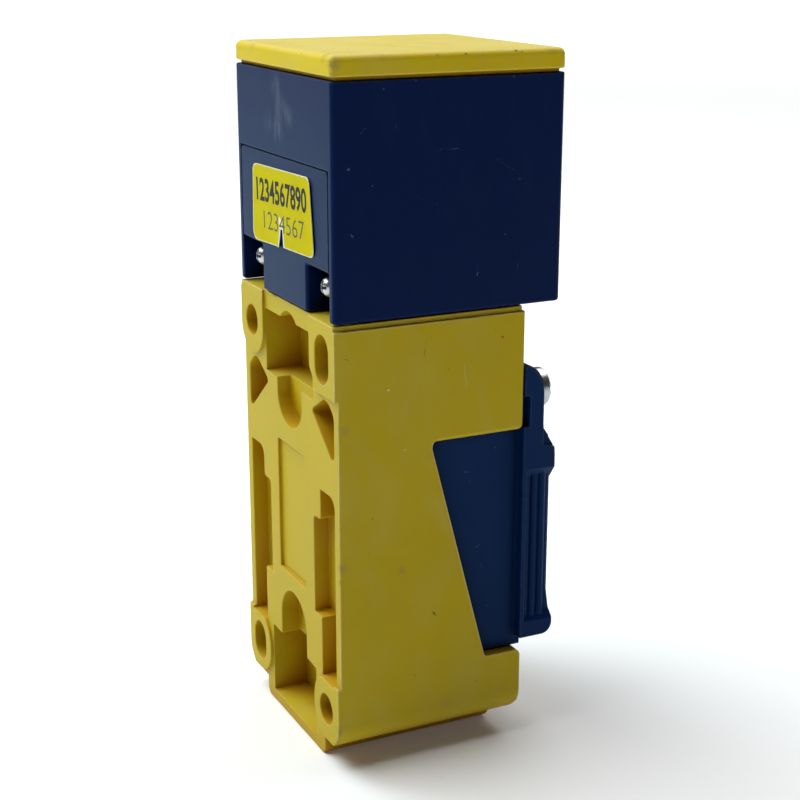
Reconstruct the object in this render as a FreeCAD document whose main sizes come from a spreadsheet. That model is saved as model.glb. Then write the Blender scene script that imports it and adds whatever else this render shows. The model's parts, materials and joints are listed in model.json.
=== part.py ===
import FreeCAD, Part
import math
import os
import Sketcher

# Inductive proximity sensor, block type: a yellow base with wiring terminals,
# a navy sensing head that swivels on it, and a navy terminal cover.
# Lengths in millimetres. X is the width, Y runs from the mounting pads (Y = 0)
# to the cover, Z is up from the seat of the cable inlet boss (Z = 0).
# Every finished piece is then shifted by half the depth along -Y, so that the
# origin lies under the middle of the overall box.

V = FreeCAD.Vector
doc = FreeCAD.newDocument("inductive_sensor")
sheet = doc.addObject("Spreadsheet::Sheet", "dims")


class Q:
    """A length with its value and the sheet expression that drives it."""

    def __init__(self, v, e):
        self.v = float(v)
        self.e = e

    def __add__(self, o):
        o = q(o)
        return Q(self.v + o.v, "(%s + %s)" % (self.e, o.e))

    def __radd__(self, o):
        return q(o) + self

    def __sub__(self, o):
        o = q(o)
        return Q(self.v - o.v, "(%s - %s)" % (self.e, o.e))

    def __rsub__(self, o):
        return q(o) - self

    def __mul__(self, o):
        o = q(o)
        return Q(self.v * o.v, "(%s * %s)" % (self.e, o.e))

    def __rmul__(self, o):
        return q(o) * self

    def __truediv__(self, o):
        o = q(o)
        return Q(self.v / o.v, "(%s / %s)" % (self.e, o.e))

    def __neg__(self):
        return Q(-self.v, "(-1 * %s)" % self.e)


def q(o):
    return o if isinstance(o, Q) else Q(o, "%.6g" % o if o >= 0 else "(%.6g)" % o)


class Dims:
    pass


P = Dims()
VALUES = [
    # overall
    ("half_depth", 20.55), ("case_half", 20.0), ("axis_y", 20.1),
    # base housing
    ("base_back", 0.6), ("base_front", 33.85), ("base_top", 75.0), ("rim_top", 75.85),
    ("rim_inset", 0.5), ("base_bottom", 3.3), ("base_corner", 5.0),
    ("boss_half", 13.0), ("boss_front", 32.0), ("boss_edge", 1.4),
    ("hole_x", 15.0), ("hole_low", 9.63), ("hole_high", 69.63), ("hole_rad", 2.65),
    ("slot_tall", 8.0), ("slot_short", 7.1),
    ("pad_in", 10.0), ("pad_round", 4.9), ("pad_low_tip", 4.1), ("pad_low_top", 15.2),
    ("pad_high_tip", 63.9),
    ("chamber_half", 18.45), ("chamber_back", 9.5), ("chamber_floor", 15.6), ("chamber_top", 57.5),
    ("socket_rad", 9.05), ("inlet_rad", 9.5), ("inlet_len", 15.6),
    ("win_top", 55.05), ("win_rear", 17.0), ("win_foot", 26.9), ("foot_front", 34.1), ("foot_low", 5.5),
    # back pockets
    ("bp_top_half", 10.0), ("bp_top_low", 61.8), ("bp_top_high", 72.6), ("bp_deep", 7.1),
    ("bp_u_half", 5.3), ("bp_u_centre", 59.6), ("bp_u_deep", 3.1),
    ("bp_tri_deep", 4.4), ("bp_side_deep", 3.4), ("bp_side_out", 18.1), ("bp_side_in", 12.4),
    ("bp_side_wide", 9.5), ("bp_panel_deep", 1.2), ("bp_arch_half", 5.6), ("bp_arch_deep", 4.0),
    ("bp_low_half", 9.7), ("bp_low_deep", 6.9),
    # swivel head
    ("head_back", 0.1), ("head_size", 40.0), ("head_low", 76.1), ("head_high", 112.55),
    ("wall", 2.0), ("head_edge", 0.9),
    ("cap_low", 113.15), ("cap_high", 116.3), ("cap_edge", 1.1), ("cap_neck", 0.8),
    ("plate_half", 18.2), ("plate_high", 99.3), ("plate_deep", 6.1),
    ("pocket_in", 9.4), ("pocket_high", 83.7), ("pocket_deep", 4.0),
    ("hscrew_x", 13.8), ("hscrew_z", 80.85), ("hscrew_head", 2.1), ("hscrew_dome", 1.62),
    ("neck_half", 16.2), ("neck_low", 76.0), ("neck_high", 77.6),
    ("spigot_rad", 9.0), ("spigot_bore", 6.0), ("spigot_low", 55.2), ("spigot_end", 1.6), ("lead_hole", 1.95), ("lead_off", 0.8),
    ("ring_low", 56.2), ("ring_thick", 1.0), ("seal_z", 71.0), ("seal_sec", 0.9),
    # sensing coil
    ("core_rad", 16.0), ("core_low", 103.95), ("core_high", 112.45), ("core_post", 6.5),
    ("core_floor", 3.0), ("core_outer", 13.2), ("core_bore", 1.6),
    # board
    ("board_half", 16.5), ("board_back", 9.0), ("board_front", 36.5), ("board_low", 98.0), ("board_thick", 1.6),
    # terminals
    ("tb_half", 14.6), ("tb_front", 26.0), ("tb_low", 36.0), ("tb_high", 50.0), ("pitch", 7.0),
    ("tscrew_z", 43.0), ("cage_half", 2.5), ("cage_back", 15.0), ("cage_front", 22.0),
    # cover
    ("cheek_out", 18.2), ("cheek_in", 16.2), ("cover_back", 33.95), ("cover_front", 40.0),
    ("cover_low", 17.5), ("cover_high", 65.5), ("lug_front", 37.7), ("lug_low", 54.5),
    ("cscrew_x", 16.4), ("cscrew_z", 60.9), ("cscrew_head", 3.3), ("cscrew_tip", 40.4), ("cscrew_rad", 1.75),
    ("insert_rad", 2.2), ("insert_len", 8.0),
]
for i, (alias, value) in enumerate(VALUES):
    sheet.set("A%d" % (i + 1), alias)
    sheet.set("B%d" % (i + 1), "%g" % value)
    sheet.setAlias("B%d" % (i + 1), alias)
    setattr(P, alias, Q(value, "dims." + alias))
doc.recompute()

NODES = []
ZERO = q(0.0)


def finish(obj, label, x=None, y=None, z=None):
    """Names a finished piece and shifts it into the part's frame."""
    obj.Label = label
    x = q(x) if x is not None else ZERO
    y = (q(y) if y is not None else ZERO) - P.half_depth
    z = q(z) if z is not None else ZERO
    obj.Placement = FreeCAD.Placement(V(x.v, y.v, z.v), FreeCAD.Rotation())
    obj.setExpression("Placement.Base.x", x.e)
    obj.setExpression("Placement.Base.y", y.e)
    obj.setExpression("Placement.Base.z", z.e)
    NODES.append((label, obj))
    return obj


# ---------------------------------------------------------------- sketches
def new_body(name):
    return doc.addObject("PartDesign::Body", name)


def new_sketch(body, plane, offset=None):
    s = body.newObject("Sketcher::SketchObject", body.Name + "_sketch")
    origin = [f for f in body.Origin.OriginFeatures if f.Role == plane + "_Plane"][0]
    s.AttachmentSupport = [(origin, "")]
    s.MapMode = "FlatFace"
    if offset is not None:
        offset = q(offset)
        s.AttachmentOffset = FreeCAD.Placement(V(0, 0, offset.v), FreeCAD.Rotation())
        s.setExpression("AttachmentOffset.Base.z", offset.e)
    return s


def bind(s, kind, value, *refs):
    c = s.addConstraint(Sketcher.Constraint(kind, *refs, value.v))
    s.setExpression("Constraints[%d]" % c, value.e)


def poly(s, pts):
    pts = [(q(a), q(b)) for a, b in pts]
    n, first = len(pts), s.GeometryCount
    for i in range(n):
        a, b = pts[i], pts[(i + 1) % n]
        s.addGeometry(Part.LineSegment(V(a[0].v, a[1].v, 0), V(b[0].v, b[1].v, 0)), False)
    for i in range(n):
        s.addConstraint(Sketcher.Constraint("Coincident", first + i, 2, first + (i + 1) % n, 1))
    for i in range(n):
        bind(s, "DistanceX", pts[i][0], -1, 1, first + i, 1)
        bind(s, "DistanceY", pts[i][1], -1, 1, first + i, 1)


def rect(s, x0, y0, x1, y1):
    poly(s, [(x0, y0), (x1, y0), (x1, y1), (x0, y1)])


def circle(s, cx, cy, r):
    cx, cy, r = q(cx), q(cy), q(r)
    g = s.addGeometry(Part.Circle(V(cx.v, cy.v, 0), V(0, 0, 1), r.v), False)
    bind(s, "DistanceX", cx, -1, 1, g, 3)
    bind(s, "DistanceY", cy, -1, 1, g, 3)
    bind(s, "Radius", r, g)


def upright_slot(s, cx, cy, half, r):
    """Slot with round ends, standing along the sketch's second axis."""
    cx, cy, half, r = q(cx), q(cy), q(half), q(r)
    top, low = cy + half, cy - half
    a = s.addGeometry(Part.ArcOfCircle(Part.Circle(V(cx.v, top.v, 0), V(0, 0, 1), r.v), 0, math.pi), False)
    b = s.addGeometry(Part.ArcOfCircle(Part.Circle(V(cx.v, low.v, 0), V(0, 0, 1), r.v), math.pi, 2 * math.pi), False)
    c = s.addGeometry(Part.LineSegment(V(cx.v - r.v, top.v, 0), V(cx.v - r.v, low.v, 0)), False)
    d = s.addGeometry(Part.LineSegment(V(cx.v + r.v, low.v, 0), V(cx.v + r.v, top.v, 0)), False)
    s.addConstraint(Sketcher.Constraint("Tangent", a, 2, c, 1))
    s.addConstraint(Sketcher.Constraint("Tangent", c, 2, b, 1))
    s.addConstraint(Sketcher.Constraint("Tangent", b, 2, d, 1))
    s.addConstraint(Sketcher.Constraint("Tangent", d, 2, a, 1))
    s.addConstraint(Sketcher.Constraint("Equal", a, b))
    for g, y in ((a, top), (b, low)):
        bind(s, "DistanceX", cx, -1, 1, g, 3)
        bind(s, "DistanceY", y, -1, 1, g, 3)
    bind(s, "Radius", r, a)


def outside_corner(s, side, x, low, r):
    """Region outside a rounded lower corner: arc of radius r, centre r in from the side and the bottom."""
    x, low, r = q(x), q(low), q(r)
    far, under = x + 1.0, low - 1.0
    cx, cz = x - r, low + r
    pts = [(cx, low), (cx, under), (far, under), (far, cz), (x, cz)]
    first = s.GeometryCount
    for a, b in zip(pts[:-1], pts[1:]):
        s.addGeometry(Part.LineSegment(V(side * a[0].v, a[1].v, 0), V(side * b[0].v, b[1].v, 0)), False)
    ring = Part.Circle(V(side * cx.v, cz.v, 0), V(0, 0, 1), r.v)
    start = 1.5 * math.pi if side > 0 else math.pi
    arc = s.addGeometry(Part.ArcOfCircle(ring, start, start + 0.5 * math.pi), False)
    for i in range(3):
        s.addConstraint(Sketcher.Constraint("Coincident", first + i, 2, first + i + 1, 1))
    low_end, high_end = (1, 2) if side > 0 else (2, 1)
    s.addConstraint(Sketcher.Constraint("Coincident", arc, low_end, first, 1))
    s.addConstraint(Sketcher.Constraint("Coincident", arc, high_end, first + 3, 2))
    for i in range(4):
        bind(s, "DistanceX", side * pts[i][0], -1, 1, first + i, 1)
        bind(s, "DistanceY", pts[i][1], -1, 1, first + i, 1)
    bind(s, "DistanceX", side * x, -1, 1, first + 3, 2)
    bind(s, "DistanceY", cz, -1, 1, first + 3, 2)
    bind(s, "Radius", r, arc)


def feature(body, kind, s, length, rev=False, mid=False):
    f = body.newObject("PartDesign::" + kind, body.Name + "_" + kind.lower())
    f.Profile = s
    length = q(length)
    f.Length = length.v
    f.setExpression("Length", length.e)
    f.Reversed = rev
    f.Midplane = mid
    before = body.Shape.Volume if body.Shape and not body.Shape.isNull() else 0.0
    doc.recompute()
    after = body.Shape.Volume
    if kind == "Pocket" and after > before - 1e-6:
        raise RuntimeError("pocket cuts nothing: " + body.Name + " " + f.Name)
    if kind == "Pad" and after < before + 1e-6:
        raise RuntimeError("pad adds nothing: " + body.Name + " " + f.Name)
    return f


def pad(body, plane, offset, length, draw, rev=False, mid=False):
    s = new_sketch(body, plane, offset)
    draw(s)
    return feature(body, "Pad", s, length, rev, mid)


def pocket(body, plane, offset, length, draw, rev=False, mid=False):
    s = new_sketch(body, plane, offset)
    draw(s)
    return feature(body, "Pocket", s, length, rev, mid)


def fillet(body, radius, pick):
    doc.recompute()
    base = body.Tip
    names = ["Edge%d" % (i + 1) for i, e in enumerate(base.Shape.Edges) if pick(e)]
    if not names:
        raise RuntimeError("no edge to round on " + body.Name)
    radius = q(radius)
    f = body.newObject("PartDesign::Fillet", body.Name + "_fillet")
    f.Base = (base, names)
    f.Radius = radius.v
    f.setExpression("Radius", radius.e)
    doc.recompute()
    if "Invalid" in f.State or f.Shape.isNull() or not f.Shape.isValid():
        raise RuntimeError("round failed on %s %s" % (body.Name, f.Name))
    return f


def spun(name, pts):
    """Turned piece: a profile of (radius, height) points turned about its own Z axis."""
    body = new_body(name)
    s = new_sketch(body, "XZ")
    poly(s, pts)
    f = body.newObject("PartDesign::Revolution", name + "_turned")
    f.Profile = s
    f.ReferenceAxis = (s, ["V_Axis"])
    f.Angle = 360
    doc.recompute()
    return body


def ends(e):
    return [v.Point for v in e.Vertexes]


def along(e, axis):
    if len(e.Vertexes) != 2:
        return False
    d = e.Vertexes[1].Point - e.Vertexes[0].Point
    rest = [abs(c) for i, c in enumerate(d) if i != axis]
    return max(rest) < 1e-4 and abs(d[axis]) > 1e-3 and abs(e.Length - abs(d[axis])) < 1e-4


def near(a, b, tol=0.02):
    return abs(a - b) < tol


# --------------------------------------------------------------- primitives
def place(o, x, y, z, rot=None):
    x, y, z = q(x), q(y), q(z)
    o.Placement = FreeCAD.Placement(V(x.v, y.v, z.v), rot or FreeCAD.Rotation())
    o.setExpression("Placement.Base.x", x.e)
    o.setExpression("Placement.Base.y", y.e)
    o.setExpression("Placement.Base.z", z.e)


def box(name, x0, y0, z0, x1, y1, z1):
    o = doc.addObject("Part::Box", name)
    for prop, a, b in (("Length", x0, x1), ("Width", y0, y1), ("Height", z0, z1)):
        size = q(b) - q(a)
        setattr(o, prop, size.v)
        o.setExpression(prop, size.e)
    place(o, x0, y0, z0)
    return o


ROT = {"Z": FreeCAD.Rotation(), "Y": FreeCAD.Rotation(V(1, 0, 0), -90), "X": FreeCAD.Rotation(V(0, 1, 0), 90)}


def rod(name, axis, x, y, z, r, length):
    """Cylinder that starts at a point and runs along a positive axis."""
    o = doc.addObject("Part::Cylinder", name)
    r, length = q(r), q(length)
    o.Radius, o.Height = r.v, length.v
    o.setExpression("Radius", r.e)
    o.setExpression("Height", length.e)
    place(o, x, y, z, ROT[axis])
    return o


def cut(name, base, *tools):
    tool = tools[0] if len(tools) == 1 else fuse(name + "_tools", *tools)
    o = doc.addObject("Part::Cut", name)
    o.Base, o.Tool = base, tool
    return o


def fuse(name, *shapes):
    o = doc.addObject("Part::MultiFuse", name)
    o.Shapes = list(shapes)
    o.Refine = True
    return o


def group(name, *shapes):
    o = doc.addObject("Part::Compound", name)
    o.Links = list(shapes)
    return o


# ============================================================ base housing
B = new_body("base_body")
# outer block, from the recessed back plane to the front
pad(B, "XZ", -P.base_back, P.base_front - P.base_back,
    lambda s: rect(s, -P.case_half, P.base_bottom, P.case_half, P.base_top), rev=True)
# rounded lower front edge
fillet(B, 1.8, lambda e: along(e, 0) and near(ends(e)[0].z, P.base_bottom.v) and near(ends(e)[0].y, P.base_front.v))
# seat of the cable inlet
pad(B, "XY", 0.0, P.base_bottom + 2.0,
    lambda s: rect(s, -P.boss_half, P.base_back, P.boss_half, P.boss_front))
fillet(B, P.boss_edge, lambda e: (along(e, 1) or along(e, 0)) and near(ends(e)[0].z, 0.0)
       and near(ends(e)[1].z, 0.0) and not (near(ends(e)[0].y, P.base_back.v) and near(ends(e)[1].y, P.base_back.v)))
# raised plateau under the head
pad(B, "XY", P.base_top - 1.0, P.rim_top - P.base_top + 1.0,
    lambda s: rect(s, -(P.case_half - P.rim_inset), P.base_back,
                   P.case_half - P.rim_inset, P.base_front - P.rim_inset))
# foot, a little proud of the front
pad(B, "XZ", -P.foot_front, P.foot_front - P.base_front + 1.0,
    lambda s: rect(s, -P.case_half, P.foot_low, P.case_half, P.chamber_floor))

# four mounting pads on the back
PAD_DEEP = P.base_back + 1.0


def pad_square_high(s):
    poly(s, [(P.pad_in, P.base_top), (P.pad_in, 67.6), (P.pad_in + 1.3, 66.0), (P.pad_in + 1.3, P.pad_high_tip),
             (P.case_half, P.pad_high_tip), (P.case_half, P.base_top)])


pad(B, "XZ", 0.0, PAD_DEEP, lambda s: rect(s, -P.case_half, P.pad_high_tip, -P.pad_in, P.base_top), rev=True)
pad(B, "XZ", 0.0, PAD_DEEP, pad_square_high, rev=True)
for side in (-1, 1):
    pad(B, "XZ", 0.0, PAD_DEEP,
        lambda s: rect(s, side * P.pad_in, P.pad_low_tip, side * P.case_half, P.pad_low_top), rev=True)
    # the upper pads reach up to the plateau
    pad(B, "XZ", 0.0, PAD_DEEP,
        lambda s: rect(s, side * P.pad_in, P.base_top - 1.0, side * (P.case_half - P.rim_inset), P.rim_top), rev=True)


def pad_edges(e):
    if not along(e, 1):
        return False
    p, r = ends(e)
    if max(p.y, r.y) > P.base_back.v + 0.02 or min(p.y, r.y) > 0.01:
        return False
    low = near(p.z, P.pad_low_tip.v) and near(abs(p.x), P.pad_in.v)
    inner_top = near(p.z, P.pad_low_top.v) and near(abs(p.x), P.pad_in.v)
    high = near(p.z, P.pad_high_tip.v) and p.x < 0
    return low or inner_top or high


fillet(B, P.pad_round, pad_edges)
# rounded lower long edges, over the whole depth
for side in (-1, 1):
    pocket(B, "XZ", 1.0, P.foot_front + 2.0, lambda s: outside_corner(s, side, P.case_half, P.base_bottom, P.base_corner))

# pockets in the back
pocket(B, "XZ", 0.0, P.bp_deep, lambda s: rect(s, -P.bp_top_half, P.bp_top_low, P.bp_top_half, P.bp_top_high))
pocket(B, "XZ", 0.0, P.bp_deep, lambda s: circle(s, 0.0, P.bp_top_high - 3.1, 4.6))
pocket(B, "XZ", 0.0, P.bp_u_deep, lambda s: rect(s, -P.bp_u_half, P.bp_u_centre, P.bp_u_half, P.bp_top_low + 1.0))
pocket(B, "XZ", 0.0, P.bp_u_deep, lambda s: circle(s, 0.0, P.bp_u_centre, P.bp_u_half))
for side in (-1, 1):
    pocket(B, "XZ", 0.0, P.bp_tri_deep, lambda s: poly(s, [
        (side * 15.1, 63.5), (side * 18.2, 61.2), (side * 18.2, 52.9), (side * 9.3, 60.1)]))
    pocket(B, "XZ", 0.0, P.bp_side_deep, lambda s: poly(s, [
        (side * P.bp_side_in, 47.4), (side * P.bp_side_out, 47.4), (side * P.bp_side_out, 14.7),
        (side * P.bp_side_in, 14.7), (side * P.bp_side_in, 25.0), (side * P.bp_side_wide, 25.0),
        (side * P.bp_side_wide, 42.1), (side * P.bp_side_in, 42.1)]))


def upright(x, z):
    """Picks the edge that runs into the depth at this place."""
    return lambda e: along(e, 1) and near(ends(e)[0].x, x) and near(ends(e)[0].z, z)


# rounded corners of these pockets
for side in (-1, 1):
    for x, z, r in ((15.1, 63.5, 2.2), (18.2, 61.2, 2.2), (18.2, 52.9, 0.8), (9.3, 60.1, 0.6)):
        fillet(B, r, upright(side * x, z))
    fillet(B, 0.9, upright(side * P.bp_side_wide.v, 42.1))
    fillet(B, 0.7, upright(side * P.bp_side_in.v, 42.1))
fillet(B, 2.0, upright(-P.bp_side_in.v, 47.4))
fillet(B, 2.0, upright(P.bp_side_out.v, 47.4))
pocket(B, "XZ", 0.0, P.bp_panel_deep, lambda s: rect(s, -P.bp_arch_half, 27.6, P.bp_arch_half, 51.0))
pocket(B, "XZ", 0.0, P.bp_arch_deep, lambda s: rect(s, -P.bp_arch_half, 14.0, P.bp_arch_half, 18.9))
pocket(B, "XZ", 0.0, P.bp_arch_deep, lambda s: circle(s, 0.0, 18.9, P.bp_arch_half))
pocket(B, "XZ", 0.0, P.bp_low_deep, lambda s: rect(s, -P.bp_low_half, 2.0, P.bp_low_half, 14.7))

# wiring chamber, open to the front, and the slanted side windows
pocket(B, "XZ", -P.foot_front - 1.0, P.foot_front + 1.0 - P.chamber_back,
       lambda s: rect(s, -P.chamber_half, P.chamber_floor, P.chamber_half, P.chamber_top), rev=True)
pocket(B, "YZ", 0.0, 2.0 * P.case_half + 4.0, lambda s: poly(s, [
    (P.win_rear, P.win_top), (P.base_front + 2.0, P.win_top), (P.base_front + 2.0, P.chamber_floor),
    (P.win_foot + 0.28, P.chamber_floor), (P.win_rear, P.win_top - 1.05)]), mid=True)
# swivel socket and cable inlet on one upright axis
pocket(B, "XY", P.rim_top + 1.0, P.rim_top + 2.0 - P.chamber_top, lambda s: circle(s, 0.0, P.axis_y, P.socket_rad))
pocket(B, "XY", P.chamber_floor + 1.0, P.chamber_floor + 2.0, lambda s: circle(s, 0.0, P.axis_y, P.inlet_rad))
# mounting holes right through: round at upper left and lower right, slotted at the other two corners
DEPTH = P.foot_front + 2.0
pocket(B, "XZ", 1.0, DEPTH, lambda s: circle(s, -P.hole_x, P.hole_high, P.hole_rad))
pocket(B, "XZ", 1.0, DEPTH, lambda s: circle(s, P.hole_x, P.hole_low, P.hole_rad))
pocket(B, "XZ", 1.0, DEPTH, lambda s: upright_slot(s, P.hole_x, P.hole_high, P.slot_tall / 2 - P.hole_rad, P.hole_rad))
pocket(B, "XZ", 1.0, DEPTH, lambda s: upright_slot(s, -P.hole_x, P.hole_low, P.slot_short / 2 - P.hole_rad, P.hole_rad))
# seats of the thread inserts and of the terminal block's screws
for side in (-1, 1):
    pocket(B, "XZ", -P.base_front - 1.0, P.insert_len + 1.0,
           lambda s: circle(s, side * P.cscrew_x, P.cscrew_z, P.insert_rad), rev=True)
    pocket(B, "XZ", -P.chamber_back - 1.0, 5.0, lambda s: circle(s, side * 12.5, 53.0, 1.25), rev=True)


# visible outer edges, slightly rounded
def outer_front(e):
    if not along(e, 2):
        return False
    p, r = ends(e)
    return near(abs(p.x), P.case_half.v) and near(p.y, P.base_front.v) and min(p.z, r.z) > 50


fillet(B, 0.7, outer_front)


def window_corner(e):
    if not along(e, 0):
        return False
    p, r = ends(e)
    return near(p.z, P.win_top.v) and (near(p.y, P.base_front.v) or near(p.y, P.win_rear.v))


fillet(B, 0.9, window_corner)
fillet(B, 1.0, lambda e: along(e, 0) and near(ends(e)[0].z, P.chamber_floor.v) and near(ends(e)[0].y, P.win_foot.v + 0.28))
fillet(B, 1.1, lambda e: along(e, 0) and near(ends(e)[0].y, P.foot_front.v) and near(ends(e)[0].z, P.chamber_floor.v))
finish(B, "base_housing")

# brass inserts for the cover screws
inserts = []
for tag, side in (("l", -1), ("r", 1)):
    inserts.append(cut("insert_" + tag,
                       rod("insert_out_" + tag, "Y", side * P.cscrew_x, P.base_front - P.insert_len, P.cscrew_z,
                           P.insert_rad, P.insert_len),
                       rod("insert_in_" + tag, "Y", side * P.cscrew_x, P.base_front - P.insert_len - 1, P.cscrew_z,
                           P.cscrew_rad + 0.1, P.insert_len + 2)))
finish(group("thread_inserts_group", *inserts), "thread_inserts")

# ============================================================== terminals
POLES = (-1.5, -0.5, 0.5, 1.5)
block = box("tb_block", -P.tb_half, P.chamber_back, P.tb_low, P.tb_half, P.tb_front, P.tb_high)
ears = [box("tb_ear_%d" % i, side * 12.5 - 2.4, P.chamber_back, P.tb_high - 1.0, side * 12.5 + 2.4,
            P.chamber_back + 2.5, 55.6) for i, side in enumerate((-1, 1))]
tools = [rod("tb_ear_hole_%d" % i, "Y", side * 12.5, P.chamber_back - 1, 53.0, 1.35, 6.0)
         for i, side in enumerate((-1, 1))]
bars, cages, tscrews = [], [], []
for n, k in enumerate(POLES):
    x = k * P.pitch
    tools.append(box("tb_well_%d" % n, x - P.cage_half - 0.2, P.cage_back - 0.3, P.tb_low - 1.0,
                     x + P.cage_half + 0.2, P.tb_front - 1.7, 47.7))
    tools.append(box("tb_bar_way_%d" % n, x - 1.7, 18.85, 40.0, x + 1.7, 19.75, P.tb_high + 1.0))
    tools.append(rod("tb_screw_way_%d" % n, "Y", x, P.tb_front - 3.0, P.tscrew_z, 2.4, 4.0))
    # clamping bar with its solder tail
    bars.append(box("bar_%d" % n, x - 1.65, 18.9, 37.0, x + 1.65, 19.7, 52.0))
    # clamping cage, a frame that slides along the screw
    cages.append(cut("cage_%d" % n,
                     box("cage_out_%d" % n, x - P.cage_half, P.cage_back, 39.0, x + P.cage_half, P.cage_front, 47.0),
                     box("cage_way_%d" % n, x - 1.85, P.cage_back + 0.9, 38.0, x + 1.85, P.cage_front - 2.1, 48.0),
                     rod("cage_thread_%d" % n, "Y", x, P.cage_front - 3.0, P.tscrew_z, 1.3, 4.0)))
    # slotted clamping screw
    tscrews.append(cut("tscrew_%d" % n,
                       fuse("tscrew_blank_%d" % n,
                            rod("tscrew_shank_%d" % n, "Y", x, 19.8, P.tscrew_z, 1.2, 5.0),
                            rod("tscrew_head_%d" % n, "Y", x, 24.4, P.tscrew_z, 2.2, 1.6)),
                       box("tscrew_slot_%d" % n, x - 3.0, 25.2, P.tscrew_z - 0.35, x + 3.0, 27.0, P.tscrew_z + 0.35)))
finish(cut("tb_cut", fuse("tb_blank", block, *ears), *tools), "terminal_block")
finish(group("bars_group", *bars), "terminal_busbars")
for n in range(4):
    finish(cages[n], "terminal_cage_%d" % (n + 1))
    finish(tscrews[n], "terminal_screw_%d" % (n + 1))
fix = []
for i, side in enumerate((-1, 1)):
    fix.append(cut("fix_%d" % i,
                   fuse("fix_blank_%d" % i,
                        rod("fix_shank_%d" % i, "Y", side * 12.5, 6.0, 53.0, 1.2, 7.0),
                        rod("fix_head_%d" % i, "Y", side * 12.5, P.chamber_back + 2.5, 53.0, 2.2, 1.7)),
                   box("fix_slot_a_%d" % i, side * 12.5 - 1.5, P.chamber_back + 3.3, 52.7, side * 12.5 + 1.5,
                       P.chamber_back + 5.0, 53.3),
                   box("fix_slot_b_%d" % i, side * 12.5 - 0.3, P.chamber_back + 3.3, 51.5, side * 12.5 + 0.3,
                       P.chamber_back + 5.0, 54.5)))
finish(group("fix_group", *fix), "block_screws")

# insulated leads from the bars up the hollow swivel
leads = []
for n, (k, sx, sy) in enumerate(zip(POLES, (-1, -1, 1, 1), (-1, 1, 1, -1))):
    dx, x, y, turn = sx * P.lead_off, k * P.pitch, P.axis_y + sy * P.lead_off, 54.1 if abs(k) > 1 else 52.75
    reach = x - dx if k > 0 else dx - x
    start = dx if k > 0 else x
    across = rod("lead_across_%d" % n, "X", start, y, turn, 0.6, reach)
    pieces = [rod("lead_up_%d" % n, "Z", dx, y, turn, 0.6, 91.7 - turn), across]
    knee = doc.addObject("Part::Sphere", "lead_knee_%d" % n)
    knee.Radius = 0.6
    place(knee, dx, y, turn)
    pieces.append(knee)
    low, high = (y, q(19.3)) if y.v < 19.3 else (q(19.3), y)
    straight = high.v - low.v < 0.01
    if not straight:
        pieces.append(rod("lead_back_%d" % n, "Y", x, low, turn, 0.6, high - low))
    for j, py in enumerate((y,) if straight else (y, q(19.3))):
        bead = doc.addObject("Part::Sphere", "lead_bead_%d_%d" % (n, j))
        bead.Radius = 0.6
        place(bead, x, py, turn)
        pieces.append(bead)
    pieces.append(rod("lead_down_%d" % n, "Z", x, 19.3, 52.0, 0.6, turn - 52.0))
    leads.append(fuse("lead_%d" % n, *pieces))
finish(group("leads_group", *leads), "connection_leads")

# =========================================================== sensing head
H = new_body("head_body")
HF = P.head_back + P.head_size
pad(H, "XY", P.head_low, P.head_high - P.head_low, lambda s: rect(s, -P.case_half, P.head_back, P.case_half, HF))
fillet(H, P.head_edge, lambda e: along(e, 2))
fillet(H, 0.5, lambda e: near(e.BoundBox.ZMin, P.head_low.v) and near(e.BoundBox.ZMax, P.head_low.v))
# coil room, open at the top, and the narrower electronics room below it
pocket(H, "XY", P.head_high, P.head_high - 101.8,
       lambda s: rect(s, -(P.case_half - P.wall), P.head_back + P.wall, P.case_half - P.wall, HF - P.wall))
pocket(H, "XY", P.head_high, P.head_high - 79.7,
       lambda s: rect(s, -(P.case_half - P.wall), P.plate_deep + P.wall, P.case_half - P.wall, HF - P.wall))
# rails for the board
for side in (-1, 1):
    pad(H, "XY", P.board_low - 2.0, 2.0,
        lambda s: rect(s, side * (P.case_half - P.wall - 2.0), P.board_back, side * (P.case_half - P.wall + 0.5), P.board_front))
# bosses for the head screws
for side in (-1, 1):
    pad(H, "XZ", -P.plate_deep - 1.0, 8.0, lambda s: circle(s, side * P.hscrew_x, P.hscrew_z + 1.2, 3.0), rev=True)
# opening in the back for the carrier's plate, and the recess below for its foot
pocket(H, "XZ", 0.0, P.plate_deep, lambda s: rect(s, -P.plate_half, P.head_low - 1.0, P.plate_half, P.plate_high))
pocket(H, "XY", P.neck_high + 0.1, P.neck_high + 1.1 - P.head_low,
       lambda s: rect(s, -(P.neck_half + 0.1), 1.0, P.neck_half + 0.1, P.axis_y + P.neck_half + 0.1))
pocket(H, "XY", 82.0, 10.0, lambda s: circle(s, 0.0, P.axis_y, P.spigot_bore))
for side in (-1, 1):
    pocket(H, "XZ", 0.0, 13.0, lambda s: circle(s, side * P.hscrew_x, P.hscrew_z, 1.55))
pocket(H, "XZ", -HF - 1.0, P.wall + 2.0, lambda s: circle(s, 0.0, 84.0, 2.05), rev=True)
finish(H, "head_shell")

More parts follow.
